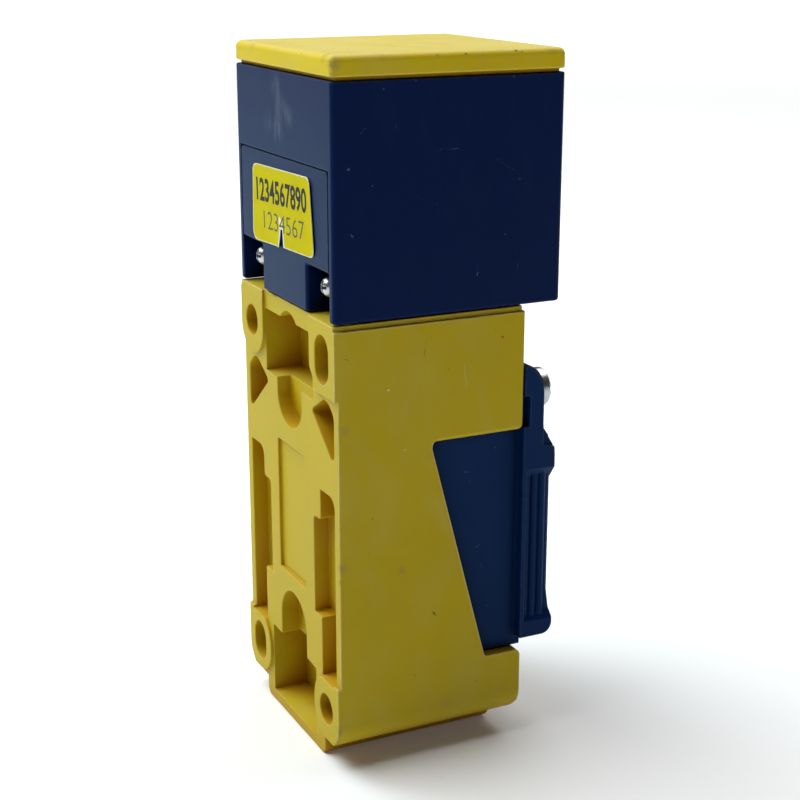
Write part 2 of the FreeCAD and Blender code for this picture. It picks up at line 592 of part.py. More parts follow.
# yellow cap of the active face, with a narrower neck and a locating lip
C = new_body("cap_body")
pad(C, "XY", P.cap_low, P.cap_high - P.cap_low, lambda s: rect(s, -P.case_half, P.head_back, P.case_half, HF))
fillet(C, P.head_edge, lambda e: along(e, 2))
fillet(C, P.cap_edge, lambda e: near(e.BoundBox.ZMin, P.cap_high.v) and near(e.BoundBox.ZMax, P.cap_high.v))
pad(C, "XY", P.head_high, P.cap_low - P.head_high + 0.5,
    lambda s: rect(s, -(P.case_half - P.cap_neck), P.head_back + P.cap_neck, P.case_half - P.cap_neck, HF - P.cap_neck))
LIP = P.wall + 0.1
pad(C, "XY", P.head_high - 2.5, 3.0,
    lambda s: (rect(s, -(P.case_half - LIP), P.head_back + LIP, P.case_half - LIP, HF - LIP),
               rect(s, -(P.case_half - LIP - 1.5), P.head_back + LIP + 1.5, P.case_half - LIP - 1.5, HF - LIP - 1.5)))
finish(C, "active_face_cap")

# carrier: back plate with pockets, foot under the head and the hollow swivel spigot
K = new_body("carrier_body")
pad(K, "XZ", -P.head_back, P.plate_deep - 0.1 - P.head_back,
    lambda s: rect(s, -(P.plate_half - 0.12), P.head_low + 0.15, P.plate_half - 0.12, P.plate_high - 0.12), rev=True)
pad(K, "XY", P.neck_low, P.neck_high - P.neck_low,
    lambda s: rect(s, -P.neck_half, P.axis_y - P.neck_half, P.neck_half, P.axis_y + P.neck_half))
for side in (-1, 1):
    pocket(K, "XZ", 0.0, P.pocket_deep,
           lambda s: rect(s, side * P.pocket_in, P.neck_low - 1.0, side * (P.plate_half + 1.0), P.pocket_high))
pad(K, "XY", P.spigot_low, P.neck_low - P.spigot_low + 0.5, lambda s: circle(s, 0.0, P.axis_y, P.spigot_rad))
# the spigot is hollow above an end wall with one small hole for the leads
pocket(K, "XY", P.neck_high + 1.0, P.neck_high + 1.0 - P.spigot_low - P.spigot_end,
       lambda s: circle(s, 0.0, P.axis_y, P.spigot_bore))
pocket(K, "XY", P.neck_high + 1.0, 30.0, lambda s: circle(s, 0.0, P.axis_y, P.lead_hole))


def ring_groove(z, height, inner):
    pocket(K, "XY", z + height, height,
           lambda s: (circle(s, 0.0, P.axis_y, P.spigot_rad + 1.0), circle(s, 0.0, P.axis_y, inner)))


ring_groove(P.seal_z - P.seal_sec - 0.2, 2.0 * P.seal_sec + 0.4, P.spigot_rad - 2.0 * P.seal_sec - 0.05)
ring_groove(P.ring_low - 0.05, P.ring_thick + 0.1, P.spigot_rad - 0.8)
for side in (-1, 1):
    pocket(K, "XZ", 0.0, P.plate_deep + 1.0, lambda s: circle(s, side * P.hscrew_x, P.hscrew_z, 1.6))
# soft edges of the screw pockets and the panel's outline
fillet(K, 0.4, lambda e: along(e, 1) and near(ends(e)[0].z, P.pocket_high.v) and near(abs(ends(e)[0].x), P.pocket_in.v))
fillet(K, 0.8, lambda e: along(e, 1) and near(ends(e)[0].z, P.plate_high.v - 0.12))
fillet(K, 0.6, lambda e: along(e, 0) and near(ends(e)[0].z, P.pocket_high.v) and near(ends(e)[0].y, P.head_back.v))
finish(K, "head_carrier")

# o-ring and snap ring of the swivel
ring = doc.addObject("Part::Torus", "seal_torus")
ring.Radius1, ring.Radius2 = P.spigot_rad.v - P.seal_sec.v, P.seal_sec.v
ring.setExpression("Radius1", (P.spigot_rad - P.seal_sec).e)
ring.setExpression("Radius2", P.seal_sec.e)
place(ring, 0.0, P.axis_y, P.seal_z)
finish(group("seal_group", ring), "swivel_seal")
snap = cut("snap_ring",
           rod("snap_out", "Z", 0.0, P.axis_y, P.ring_low, P.spigot_rad + 1.5, P.ring_thick),
           rod("snap_in", "Z", 0.0, P.axis_y, P.ring_low - 1.0, P.spigot_rad - 0.8, P.ring_thick + 2.0),
           box("snap_gap", -3.0, P.axis_y + 4.0, P.ring_low - 1.0, 3.0, P.axis_y + 15.0, P.ring_low + 3.0))
finish(snap, "retaining_ring")

# cross-recessed screws with a round head on a flange, which hold the head to its carrier
hs = []
for i, side in enumerate((-1, 1)):
    xs = side * P.hscrew_x
    dome = doc.addObject("Part::Sphere", "hs_dome_%d" % i)
    dome.Radius = 1.65
    place(dome, xs, 0.75 + 1.65, P.hscrew_z)
    tip = doc.addObject("Part::Common", "hs_tip_%d" % i)
    tip.Base = dome
    tip.Tool = rod("hs_disc_%d" % i, "Y", xs, 0.0, P.hscrew_z, P.hscrew_dome, 2.6)
    neck = rod("hs_neck_%d" % i, "Y", xs, 2.3, P.hscrew_z, P.hscrew_dome, P.pocket_deep - 2.3)
    flange = rod("hs_flange_%d" % i, "Y", xs, P.pocket_deep - 1.0, P.hscrew_z, P.hscrew_head, 1.0)
    hs.append(cut("hs_%d" % i,
                  fuse("hs_blank_%d" % i, tip, neck, flange,
                       rod("hs_shank_%d" % i, "Y", xs, P.pocket_deep - 0.5, P.hscrew_z, 1.5, 8.5)),
                  box("hs_cross_a_%d" % i, xs - 1.05, 0.0, P.hscrew_z - 0.24, xs + 1.05, 1.8, P.hscrew_z + 0.24),
                  box("hs_cross_b_%d" % i, xs - 0.24, 0.0, P.hscrew_z - 1.05, xs + 0.24, 1.8, P.hscrew_z + 1.05)))
finish(group("hs_group", *hs), "head_screws")

# paper label on the carrier's plate, slit at its lower edge
L = new_body("label_body")
pad(L, "XZ", 0.0, P.head_back - 0.01, lambda s: poly(s, [
    (-13.2, 84.05), (-1.2, 84.6), (-0.35, 88.0), (0.9, 84.75), (13.2, 85.15), (11.6, 97.5), (-12.6, 96.9)]), rev=True)
fillet(L, 1.7, lambda e: along(e, 1) and abs(ends(e)[0].x) > 11.0)
finish(L, "paper_label")

# pot core, bobbin and winding, turned about the sensing axis
core = spun("core_body", [
    (P.core_bore, P.core_low), (P.core_rad, P.core_low), (P.core_rad, P.core_high), (P.core_outer, P.core_high),
    (P.core_outer, P.core_low + P.core_floor), (P.core_post, P.core_low + P.core_floor), (P.core_post, P.core_high),
    (P.core_bore, P.core_high)])
finish(core, "ferrite_core", 0.0, P.axis_y, 0.0)
BL, BH = P.core_low + P.core_floor + 0.2, P.core_high - 0.2
bobbin = spun("bobbin_body", [
    (P.core_post + 0.3, BL), (P.core_outer - 0.2, BL), (P.core_outer - 0.2, BL + 0.8), (P.core_post + 1.3, BL + 0.8),
    (P.core_post + 1.3, BH - 0.8), (P.core_outer - 0.2, BH - 0.8), (P.core_outer - 0.2, BH), (P.core_post + 0.3, BH)])
finish(bobbin, "coil_bobbin", 0.0, P.axis_y, 0.0)
winding = spun("winding_body", [
    (P.core_post + 1.35, BL + 0.85), (P.core_outer - 0.6, BL + 0.85), (P.core_outer - 0.6, BH - 0.85),
    (P.core_post + 1.35, BH - 0.85)])
finish(winding, "coil_winding", 0.0, P.axis_y, 0.0)
BOARD_TOP = P.board_low + P.board_thick
finish(box("potting", -(P.case_half - P.wall - 0.2), P.plate_deep + P.wall + 0.2, BOARD_TOP + 0.1,
           P.case_half - P.wall - 0.2, HF - P.wall - 0.2, P.core_low - 0.1), "potting_layer",
       -(P.case_half - P.wall - 0.2), P.plate_deep + P.wall + 0.2, BOARD_TOP + 0.1)

# circuit board and what is soldered to its lower side
finish(cut("board", box("board_plate", -P.board_half, P.board_back, P.board_low, P.board_half, P.board_front, BOARD_TOP),
           rod("board_hole", "Z", 0.0, P.axis_y, P.board_low - 1.0, 1.2, 4.0)), "circuit_board")
legs = []
for i in range(4):
    for j, dy in enumerate((-3.9, 3.1)):
        legs.append(box("chip_leg_%d_%d" % (i, j), -11.2 + 1.27 * i, 15.0 + dy, P.board_low - 1.0, -10.75 + 1.27 * i,
                        15.8 + dy, P.board_low))
finish(fuse("chip", box("chip_case", -12.0, 11.9, P.board_low - 1.9, -6.2, 18.1, P.board_low - 0.2), *legs), "oscillator_chip")
finish(fuse("transistor", box("trans_case", 6.5, 12.0, P.board_low - 2.4, 13.0, 18.0, P.board_low - 0.1),
            box("trans_tab", 7.2, 17.5, P.board_low - 0.7, 12.3, 19.6, P.board_low),
            box("trans_leg_a", 7.4, 10.4, P.board_low - 0.8, 8.2, 12.5, P.board_low),
            box("trans_leg_b", 11.3, 10.4, P.board_low - 0.8, 12.1, 12.5, P.board_low)), "output_transistor")
finish(group("caps", rod("cap_a", "Z", -9.5, 26.5, P.board_low - 9.0, 3.1, 9.0), rod("cap_b", "Z", 9.5, 27.0, P.board_low - 7.0, 2.5, 7.0),
             box("cap_c", -3.8, 26.6, P.board_low - 1.3, -0.6, 28.2, P.board_low),
             box("cap_d", 1.4, 26.6, P.board_low - 1.3, 4.6, 28.2, P.board_low)), "board_capacitors")
chips = [box("res_%d" % i, -4.0 + 3.0 * (i % 3), 10.4 + 2.6 * (i // 3), P.board_low - 0.6, -2.4 + 3.0 * (i % 3),
             12.0 + 2.6 * (i // 3), P.board_low) for i in range(6)]
finish(group("resistors", *chips), "board_resistors")
finish(cut("socket_body", rod("socket_disc", "Z", 0.0, P.axis_y, P.board_low - 6.0, 4.0, 6.0),
           rod("socket_key", "Z", 0.0, P.axis_y, P.board_low - 7.0, 0.6, 3.0)), "lead_socket")
finish(fuse("led", rod("led_barrel", "Y", 0.0, 32.4, 84.0, 1.5, 4.0), rod("led_flange", "Y", 0.0, 31.6, 84.0, 1.9, 1.0),
            box("led_leg_a", -1.5, 31.0, 83.8, -1.0, 31.8, P.board_low), box("led_leg_b", 1.0, 31.0, 83.8, 1.5, 31.8, P.board_low)),
       "status_led")
lens_dome = doc.addObject("Part::Sphere", "lens_dome")
lens_dome.Radius = 6.0
place(lens_dome, 0.0, HF + 0.35 - 6.0, 84.0)
lens = doc.addObject("Part::Common", "lens")
lens.Base = lens_dome
lens.Tool = rod("lens_rod", "Y", 0.0, HF - P.wall - 0.6, 84.0, 2.0, 5.0)
finish(lens, "led_window")

# ========================================================== terminal cover
T = new_body("cover_body")
pad(T, "YZ", 0.0, 2.0 * P.case_half, lambda s: poly(s, [
    (P.cover_back, P.cover_low), (P.cover_front + 0.3, P.cover_low), (P.cover_front + 0.3, P.cover_low + 2.9),
    (P.cover_front, P.cover_low + 5.0), (P.cover_front, 51.2), (P.cover_front - 1.0, 53.3),
    (P.lug_front, P.lug_low + 0.5), (P.lug_front, 62.2), (P.lug_front - 2.1, P.cover_high), (P.cover_back, P.cover_high)]), mid=True)


def crosswise(y, z):
    """Picks the edge that runs across the width at this place."""
    return lambda e: along(e, 0) and near(ends(e)[0].y, y) and near(ends(e)[0].z, z)


fillet(T, 2.0, crosswise(P.cover_front.v + 0.3, P.cover_low.v))
fillet(T, 2.4, crosswise(P.cover_front.v, 51.2))
fillet(T, 1.5, crosswise(P.cover_front.v - 1.0, 53.3))
fillet(T, 1.5, crosswise(P.lug_front.v, P.lug_low.v + 0.5))
fillet(T, 5.0, crosswise(P.lug_front.v, 62.2))
fillet(T, 0.6, crosswise(P.lug_front.v - 2.1, P.cover_high.v))
# side cheeks that close the base's windows from within
pad(T, "YZ", 0.0, 2.0 * P.cheek_out, lambda s: poly(s, [
    (P.cover_back + 1.0, P.chamber_floor + 0.15), (P.cover_back + 1.0, P.win_top + 0.75), (P.win_rear - 0.3, P.win_top + 0.75),
    (P.win_rear - 0.75, P.win_top + 0.2), (P.win_rear - 0.75, P.win_top - 1.1), (P.win_foot - 0.5, P.chamber_floor + 0.15)]), mid=True)
pocket(T, "YZ", 0.0, 2.0 * P.cheek_in, lambda s: poly(s, [
    (P.win_rear - 3.0, P.chamber_floor - 2.0), (P.cover_back, P.chamber_floor - 2.0), (P.cover_back, P.cover_low + 2.2),
    (P.cover_front - 2.0, P.cover_low + 2.2), (P.cover_front - 2.0, 49.0), (P.lug_front - 2.0, 52.5),
    (P.cover_back, 52.5), (P.cover_back, P.win_top + 2.0), (P.win_rear - 3.0, P.win_top + 2.0)]), mid=True)
# finger grips: a shallow recess on each side, with upright ridges in it
for side in (-1, 1):
    pocket(T, "XZ", -P.cover_front - 1.0, P.cover_front + 1.0 - 34.75, lambda s: poly(s, [
        (side * (P.case_half + 1.0), 19.6), (side * (P.case_half + 0.0), 20.4), (side * (P.case_half - 1.1), 21.9),
        (side * (P.case_half - 1.1), 46.3), (side * (P.case_half + 0.0), 47.8), (side * (P.case_half + 1.0), 48.6)]), rev=True)
    for y in (35.15, 36.65, 38.2):
        pad(T, "XY", 20.9, 26.6, lambda s: circle(s, side * (P.case_half - 1.15), y, 0.62))
    # the rounded rib above the grip stands back from the side
    pocket(T, "YZ", side * (P.case_half - 0.6), 2.0, lambda s: poly(s, [
        (P.lug_front + 0.05, 51.9), (P.cover_front + 1.0, 51.0), (P.cover_front + 1.0, 56.4), (P.lug_front + 0.05, 56.4)]),
           rev=(side > 0))
    # pry slot beside the base's front
    pocket(T, "YZ", side * (P.case_half - 2.0), 3.0, lambda s: rect(s, P.cover_back - 1.0, 55.4, P.cover_back + 1.1, 60.6),
           rev=(side > 0))
    # clearance hole of the captive screw
    pocket(T, "XZ", 0.0, P.cover_front + 2.0, lambda s: circle(s, side * P.cscrew_x, P.cscrew_z, P.cscrew_rad + 0.15))
fillet(T, 0.9, lambda e: along(e, 2) and near(abs(ends(e)[0].x), P.case_half.v - 1.1) and near(ends(e)[0].y, P.cover_front.v))
finish(T, "terminal_cover")

# rubber seal behind the cover's edges
G = new_body("gasket_body")
pad(G, "YZ", 0.0, 2.0 * (P.cheek_out - 0.2), lambda s: poly(s, [
    (P.cover_back - 0.1, P.win_top + 0.8), (P.cover_back - 0.1, P.win_top + 1.9), (P.win_rear - 1.2, P.win_top + 1.9),
    (P.win_rear - 2.0, P.win_top + 1.0), (P.win_rear - 2.0, P.win_top - 1.2), (P.win_foot - 1.7, P.chamber_floor + 0.2),
    (P.win_foot - 0.55, P.chamber_floor + 0.2), (P.win_rear - 0.8, P.win_top - 1.1),
    (P.win_rear - 0.8, P.win_top + 0.2), (P.win_rear - 0.35, P.win_top + 0.8)]), mid=True)
pocket(G, "XZ", 0.0, P.cover_back - 2.0, lambda s: rect(s, -P.cheek_in - 0.3, 10.0, P.cheek_in + 0.3, 60.0))
finish(G, "cover_gasket")

# slotted pan-head screws, captive in the cover
for tag, side in (("left", -1), ("right", 1)):
    xs = side * P.cscrew_x
    dome = doc.addObject("Part::Sphere", "cs_dome_" + tag)
    dome.Radius = 4.4
    place(dome, xs, P.cscrew_tip - 4.4, P.cscrew_z)
    head = doc.addObject("Part::Common", "cs_head_" + tag)
    head.Base = dome
    head.Tool = rod("cs_disc_" + tag, "Y", xs, P.lug_front, P.cscrew_z, P.cscrew_head, 4.0)
    finish(cut("cs_" + tag,
               fuse("cs_blank_" + tag, head,
                    rod("cs_shank_" + tag, "Y", xs, P.base_front - P.insert_len + 0.5, P.cscrew_z, P.cscrew_rad,
                        P.lug_front - P.base_front + P.insert_len)),
               box("cs_slot_" + tag, xs - 5.0, P.cscrew_tip - 1.3, P.cscrew_z - 0.5, xs + 5.0, P.cscrew_tip + 1.0, P.cscrew_z + 0.5)),
           "cover_screw_" + tag)

# ============================================================ check and write
doc.recompute()
for obj in doc.Objects:
    bad = [s for s in obj.State if s in ("Invalid", "Error")]
    if bad:
        raise RuntimeError("%s: %s" % (obj.Name, bad))
for label, obj in NODES:
    shape = obj.Shape
    if shape.isNull() or not shape.isValid() or not shape.Solids:
        raise RuntimeError("bad shape: " + label)
os.makedirs("parts", exist_ok=True)
for label, obj in NODES:
    obj.Shape.exportStep(os.path.join("parts", label + ".step"))
    bb = obj.Shape.BoundBox
    print("%-20s solids %d  vol %9.2f  X %.2f..%.2f Y %.2f..%.2f Z %.2f..%.2f" % (
        label, len(obj.Shape.Solids), obj.Shape.Volume, bb.XMin, bb.XMax, bb.YMin, bb.YMax, bb.ZMin, bb.ZMax))
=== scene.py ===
import json
import math

import bmesh
import bpy
import numpy as np
from mathutils import Matrix, Vector
from mathutils.bvhtree import BVHTree


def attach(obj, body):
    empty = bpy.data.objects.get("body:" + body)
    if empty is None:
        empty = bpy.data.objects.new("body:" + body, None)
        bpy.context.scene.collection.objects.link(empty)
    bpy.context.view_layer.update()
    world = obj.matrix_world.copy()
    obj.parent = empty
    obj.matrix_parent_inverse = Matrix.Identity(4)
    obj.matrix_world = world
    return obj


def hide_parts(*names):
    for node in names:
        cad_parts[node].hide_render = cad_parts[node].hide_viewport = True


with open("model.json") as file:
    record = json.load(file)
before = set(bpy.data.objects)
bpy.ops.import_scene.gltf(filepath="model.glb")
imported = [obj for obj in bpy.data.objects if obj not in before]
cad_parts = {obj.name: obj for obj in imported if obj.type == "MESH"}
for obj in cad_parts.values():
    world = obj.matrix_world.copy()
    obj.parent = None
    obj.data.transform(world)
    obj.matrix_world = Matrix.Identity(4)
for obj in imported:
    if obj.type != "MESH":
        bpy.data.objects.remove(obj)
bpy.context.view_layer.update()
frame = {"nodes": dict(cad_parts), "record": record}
NODES = frame["nodes"]
BODY_OF = {n: b for b, ns in frame["record"]["behaviour"]["bodies"].items() for n in ns}
MM = 0.001
SCENE = bpy.context.scene
SCENE.view_settings.view_transform = "Standard"

# ------------------------------------------------------------------ studio values
SKY, FLOOR_NEAR, FLOOR_FAR = 0.02, 0.05, 1.32
LAMPS = [
    ("overhead_rear", (-0.30, -0.45, 1.05), (0.0, 0.0, 0.06), 0.9, 14.2, (0.97, 0.99, 1.0)),
    ("overhead_front", (-0.25, 0.45, 1.05), (0.0, 0.0, 0.06), 0.9, 8.2, (1.0, 1.0, 1.0)),
    ("left_floor", (-0.55, -0.32, 0.45), (-0.30, -0.17, 0.0), 0.4, 2.5, (0.78, 0.97, 1.0)),
]

# ------------------------------------------------------------------ camera
# eye level a little above the head, looking at the corner between the back and the right side
yaw, pitch = math.radians(63.974), math.radians(16.502)
ahead = Vector((-math.sin(yaw) * math.cos(pitch), math.cos(yaw) * math.cos(pitch), -math.sin(pitch)))
right = Vector((math.cos(yaw), math.sin(yaw), 0.0))
above = right.cross(ahead)
eye = bpy.data.cameras.new("camera")
eye.sensor_width, eye.lens = 36.0, 71.19
eye.clip_start, eye.clip_end = 0.005, 20.0
camera = bpy.data.objects.new("camera", eye)
camera.matrix_world = Matrix((
    (right.x, above.x, -ahead.x, 0.23367),
    (right.y, above.y, -ahead.y, -0.11366),
    (right.z, above.z, -ahead.z, 0.13349),
    (0.0, 0.0, 0.0, 1.0)))
SCENE.collection.objects.link(camera)
SCENE.camera = camera


# ------------------------------------------------------------------ node materials
class Wire:
    """One output in a material, with arithmetic."""

    def __init__(self, made, socket):
        self.made, self.socket = made, socket

    def __add__(self, o):
        return self.made.calc("ADD", self, o)

    __radd__ = __add__

    def __sub__(self, o):
        return self.made.calc("SUBTRACT", self, o)

    def __rsub__(self, o):
        return self.made.calc("SUBTRACT", o, self)

    def __mul__(self, o):
        return self.made.calc("MULTIPLY", self, o)

    __rmul__ = __mul__

    def __truediv__(self, o):
        return self.made.calc("DIVIDE", self, o)

    def __pow__(self, o):
        return self.made.calc("POWER", self, o)


class Finish:
    """A procedural material. `at` is the position in the part's own frame in millimetres."""

    def __init__(self, name, **fixed):
        self.mat = bpy.data.materials.new(name)
        self.mat.use_nodes = True
        self.tree = self.mat.node_tree
        self.tree.nodes.clear()
        self.out = self.node("ShaderNodeOutputMaterial")
        self.bsdf = self.node("ShaderNodeBsdfPrincipled")
        self.tree.links.new(self.bsdf.outputs["BSDF"], self.out.inputs["Surface"])
        for key, value in fixed.items():
            self.bsdf.inputs[key.replace("_", " ")].default_value = value
        coords = self.node("ShaderNodeTexCoord")
        self.at = self.scaled(Wire(self, coords.outputs["Object"]), 1000.0)
        split = self.node("ShaderNodeSeparateXYZ")
        self.plug(split.inputs[0], self.at)
        self.x, self.y, self.z = (Wire(self, s) for s in split.outputs)

    def node(self, kind, **props):
        n = self.tree.nodes.new(kind)
        for key, value in props.items():
            setattr(n, key, value)
        return n

    def plug(self, socket, value):
        if isinstance(value, Wire):
            self.tree.links.new(value.socket, socket)
        elif isinstance(value, (tuple, list)) and socket.type == "RGBA":
            socket.default_value = (*value[:3], 1.0)
        else:
            socket.default_value = value

    def calc(self, op, a, b=0.0, clamp=False):
        n = self.node("ShaderNodeMath", operation=op, use_clamp=clamp)
        self.plug(n.inputs[0], a)
        self.plug(n.inputs[1], b)
        return Wire(self, n.outputs[0])

    def most(self, *values):
        best = values[0]
        for v in values[1:]:
            best = self.calc("MAXIMUM", best, v)
        return best

    def clamp(self, v):
        return self.calc("ADD", v, 0.0, clamp=True)

    def vector(self, op, a, b=None, scale=None):
        n = self.node("ShaderNodeVectorMath", operation=op)
        self.plug(n.inputs[0], a)
        if b is not None:
            self.plug(n.inputs[1], b)
        if scale is not None:
            self.plug(n.inputs["Scale"], scale)
        return n

    def scaled(self, v, k):
        if isinstance(k, tuple):
            return Wire(self, self.vector("MULTIPLY", v, k).outputs[0])
        return Wire(self, self.vector("SCALE", v, scale=k).outputs[0])

    def joined(self, x, y, z):
        n = self.node("ShaderNodeCombineXYZ")
        for socket, v in zip(n.inputs, (x, y, z)):
            self.plug(socket, v)
        return Wire(self, n.outputs[0])

    def turned(self, v, axis, degrees):
        n = self.node("ShaderNodeVectorRotate", rotation_type="AXIS_ANGLE")
        self.plug(n.inputs["Vector"], v)
        n.inputs["Axis"].default_value = axis
        n.inputs["Angle"].default_value = math.radians(degrees)
        return Wire(self, n.outputs[0])

    def noise(self, v, scale, detail=2.0, rough=0.5, warp=0.0):
        n = self.node("ShaderNodeTexNoise")
        self.plug(n.inputs["Vector"], v)
        n.inputs["Scale"].default_value = scale
        n.inputs["Detail"].default_value = detail
        n.inputs["Roughness"].default_value = rough
        n.inputs["Distortion"].default_value = warp
        return Wire(self, n.outputs[0])

    def cells(self, v, scale, feature="F1"):
        n = self.node("ShaderNodeTexVoronoi", feature=feature)
        self.plug(n.inputs["Vector"], v)
        n.inputs["Scale"].default_value = scale
        chance = None
        if feature == "F1":
            split = self.node("ShaderNodeSeparateColor")
            self.tree.links.new(n.outputs["Color"], split.inputs[0])
            chance = Wire(self, split.outputs[0])
        return Wire(self, n.outputs["Distance"]), chance

    def step(self, v, low, high):
        n = self.node("ShaderNodeMapRange", interpolation_type="SMOOTHSTEP")
        self.plug(n.inputs["Value"], v)
        n.inputs["From Min"].default_value = low
        n.inputs["From Max"].default_value = high
        return Wire(self, n.outputs[0])

    def mixed(self, share, a, b):
        n = self.node("ShaderNodeMix", data_type="RGBA")
        self.plug(n.inputs[0], share)
        self.plug(n.inputs[6], a)
        self.plug(n.inputs[7], b)
        return Wire(self, n.outputs[2])

    def near_point(self, point, radius, soft=0.5):
        gap = Wire(self, self.vector("DISTANCE", self.at, point).outputs["Value"])
        return self.step(gap, radius, radius * (1.0 - soft))

    def near_line(self, points, width, wobble=None):
        """1 on a fine scratch through these points, 0 away from it."""
        found = []
        where = self.at if wobble is None else wobble
        for a, b in zip(points, points[1:]):
            run = Vector(b) - Vector(a)
            rel = Wire(self, self.vector("SUBTRACT", where, a).outputs[0])
            part = Wire(self, self.vector("DOT_PRODUCT", rel, tuple(run / run.length_squared)).outputs["Value"])
            part = self.clamp(part)
            foot = Wire(self, self.vector("SCALE", tuple(run), scale=part).outputs[0])
            gap = Wire(self, self.vector("DISTANCE", rel, foot).outputs["Value"])
            thin = 1.0 - self.calc("ABSOLUTE", part - 0.5) * 1.3
            found.append(self.step(gap / (thin * width), 1.0, 0.35))
        return self.most(*found)

    def band(self, points, width, where):
        """1 within `width` millimetres of the line through these points."""
        found = []
        for a, b in zip(points, points[1:]):
            run = Vector(b) - Vector(a)
            rel = Wire(self, self.vector("SUBTRACT", where, a).outputs[0])
            part = self.clamp(Wire(self, self.vector("DOT_PRODUCT", rel, tuple(run / run.length_squared)).outputs["Value"]))
            foot = Wire(self, self.vector("SCALE", tuple(run), scale=part).outputs[0])
            gap = Wire(self, self.vector("DISTANCE", rel, foot).outputs["Value"])
            found.append(self.step(gap, width, width * 0.8))
        return self.most(*found)

    def edges(self, radius, low=0.015, high=0.16):
        """1 along outside and inside edges."""
        n = self.node("ShaderNodeBevel", samples=6)
        n.inputs["Radius"].default_value = radius * MM
        here = self.node("ShaderNodeNewGeometry")
        same = self.vector("DOT_PRODUCT", Wire(self, n.outputs[0]), Wire(self, here.outputs["Normal"]))
        return self.step(1.0 - Wire(self, same.outputs["Value"]), low, high)

    def cavity(self, distance):
        """1 deep in corners and pockets, 0 in the open."""
        n = self.node("ShaderNodeAmbientOcclusion", samples=6)
        n.inputs["Distance"].default_value = distance * MM
        return 1.0 - Wire(self, n.outputs["AO"])

    def colour(self, v):
        self.plug(self.bsdf.inputs["Base Color"], v)

    def roughness(self, v):
        self.plug(self.bsdf.inputs["Roughness"], v)

    def relief(self, height, round_edges=None):
        """height is in millimetres."""
        n = self.node("ShaderNodeBump")
        n.inputs["Strength"].default_value = 1.0
        n.inputs["Distance"].default_value = MM
        self.plug(n.inputs["Height"], height)
        if round_edges:
            b = self.node("ShaderNodeBevel", samples=6)
            b.inputs["Radius"].default_value = round_edges * MM
            self.tree.links.new(b.outputs[0], n.inputs["Normal"])
        self.tree.links.new(n.outputs[0], self.bsdf.inputs["Normal"])


def yellow_plastic(name, strokes, spots, smears, worn, lighter=1.0, settled=0.05):
    f = Finish(name, Specular_IOR_Level=0.10)
    drift = f.noise(f.at, 0.045, 2.0)
    haze = f.noise(f.scaled(f.at, (1.0, 1.0, 0.6)), 0.11, 5.0, 0.6, 0.5)
    rub = f.noise(f.turned(f.scaled(f.at, (1.0, 1.0, 0.22)), (1, 0, 0), 12), 0.9, 4.0, 0.65)
    crumb = f.noise(f.at, 2.4, 4.0, 0.7)
    grain = f.noise(f.at, 6.5, 3.0, 0.6)
    body = f.mixed(drift, *(tuple(c * lighter for c in t) for t in ((0.475, 0.350, 0.0045), (0.535, 0.392, 0.0060))))
    # a thin film of dust, cloudy and a little greyer
    film = f.step(haze, 0.36, 0.74) * 0.20 + f.step(rub, 0.55, 0.82) * 0.10
    body = f.mixed(film, body, (0.50, 0.43, 0.14))
    facing = f.node("ShaderNodeNewGeometry")
    split = f.node("ShaderNodeSeparateXYZ")
    f.tree.links.new(facing.outputs["Normal"], split.inputs[0])
    up = f.step(Wire(f, split.outputs[2]), 0.55, 0.97)
    body = f.mixed(up * settled * (0.5 + haze), body, (0.55, 0.53, 0.34))
    # a few fine specks
    gap, chance = f.cells(f.at, 0.30)
    speck = f.step(gap, 0.050, 0.022) * f.step(chance, 0.84, 0.86)
    body = f.mixed(speck * 0.35, body, (0.12, 0.085, 0.03))
    # small soft smudges
    for where, size, share in smears:
        cloud = f.near_point(where, size, 0.95) * (0.4 + 0.6 * f.step(crumb, 0.40, 0.64))
        body = f.mixed(cloud * share, body, (0.24, 0.19, 0.07))
    wobble = Wire(f, f.vector("ADD", f.at, f.scaled(f.joined(haze - 0.5, rub - 0.5, haze - 0.5), 1.1)).outputs[0])
    for points, width, tone, share in strokes:
        body = f.mixed(f.near_line(points, width, wobble) * share, body, tone)
    for where, size, tone, share in spots:
        body = f.mixed(f.near_point(where, size, 0.6) * share, body, tone)
    # painted shade: pockets keep their full colour and turn a darker, deeper orange towards their corners, standing in
    # for their shade and for light bounced between the yellow walls
    deep = f.cavity(6.0)
    inside = 1.0 - up * f.step(f.z, 74.0, 75.0)
    body = f.mixed(f.step(deep, 0.10, 0.60) * inside * 0.95, body, (0.44, 0.217, 0.0003))
    # outside edges are drawn pale, partly rubbed pale by wear and partly a painted highlight where light catches them;
    # in places they are worn down to grey-brown
    patch = f.noise(f.at, 0.35, 4.0, 0.6)
    open_air = f.step(f.cavity(1.2), 0.30, 0.12)
    outer = f.most(f.step(f.calc("ABSOLUTE", f.x), 18.7, 19.4), f.step(f.z, 74.0, 75.0))
    edge_highlight_and_wear = f.edges(0.38, 0.006, 0.08) * open_air * (0.2 + 0.8 * outer)
    body = f.mixed(edge_highlight_and_wear * (0.52 + 0.35 * patch), body, (0.82, 0.74, 0.40))
    soiled = edge_highlight_and_wear * f.step(patch, 0.58, 0.72) * f.step(crumb, 0.40, 0.64) * 0.45
    for where, size, share in worn:
        soiled = f.most(soiled, f.near_point(where, size, 0.95) * (0.35 + 0.65 * f.step(crumb, 0.38, 0.62)) * share)
    body = f.mixed(soiled, body, (0.25, 0.20, 0.085))
    f.colour(body)
    f.roughness(0.42 + film * 0.5 + grain * 0.10 + soiled * 0.25)
    f.relief(grain * 0.008 + f.noise(f.at, 1.6, 2.0) * 0.008 - soiled * 0.03, round_edges=0.18)
    return f.mat


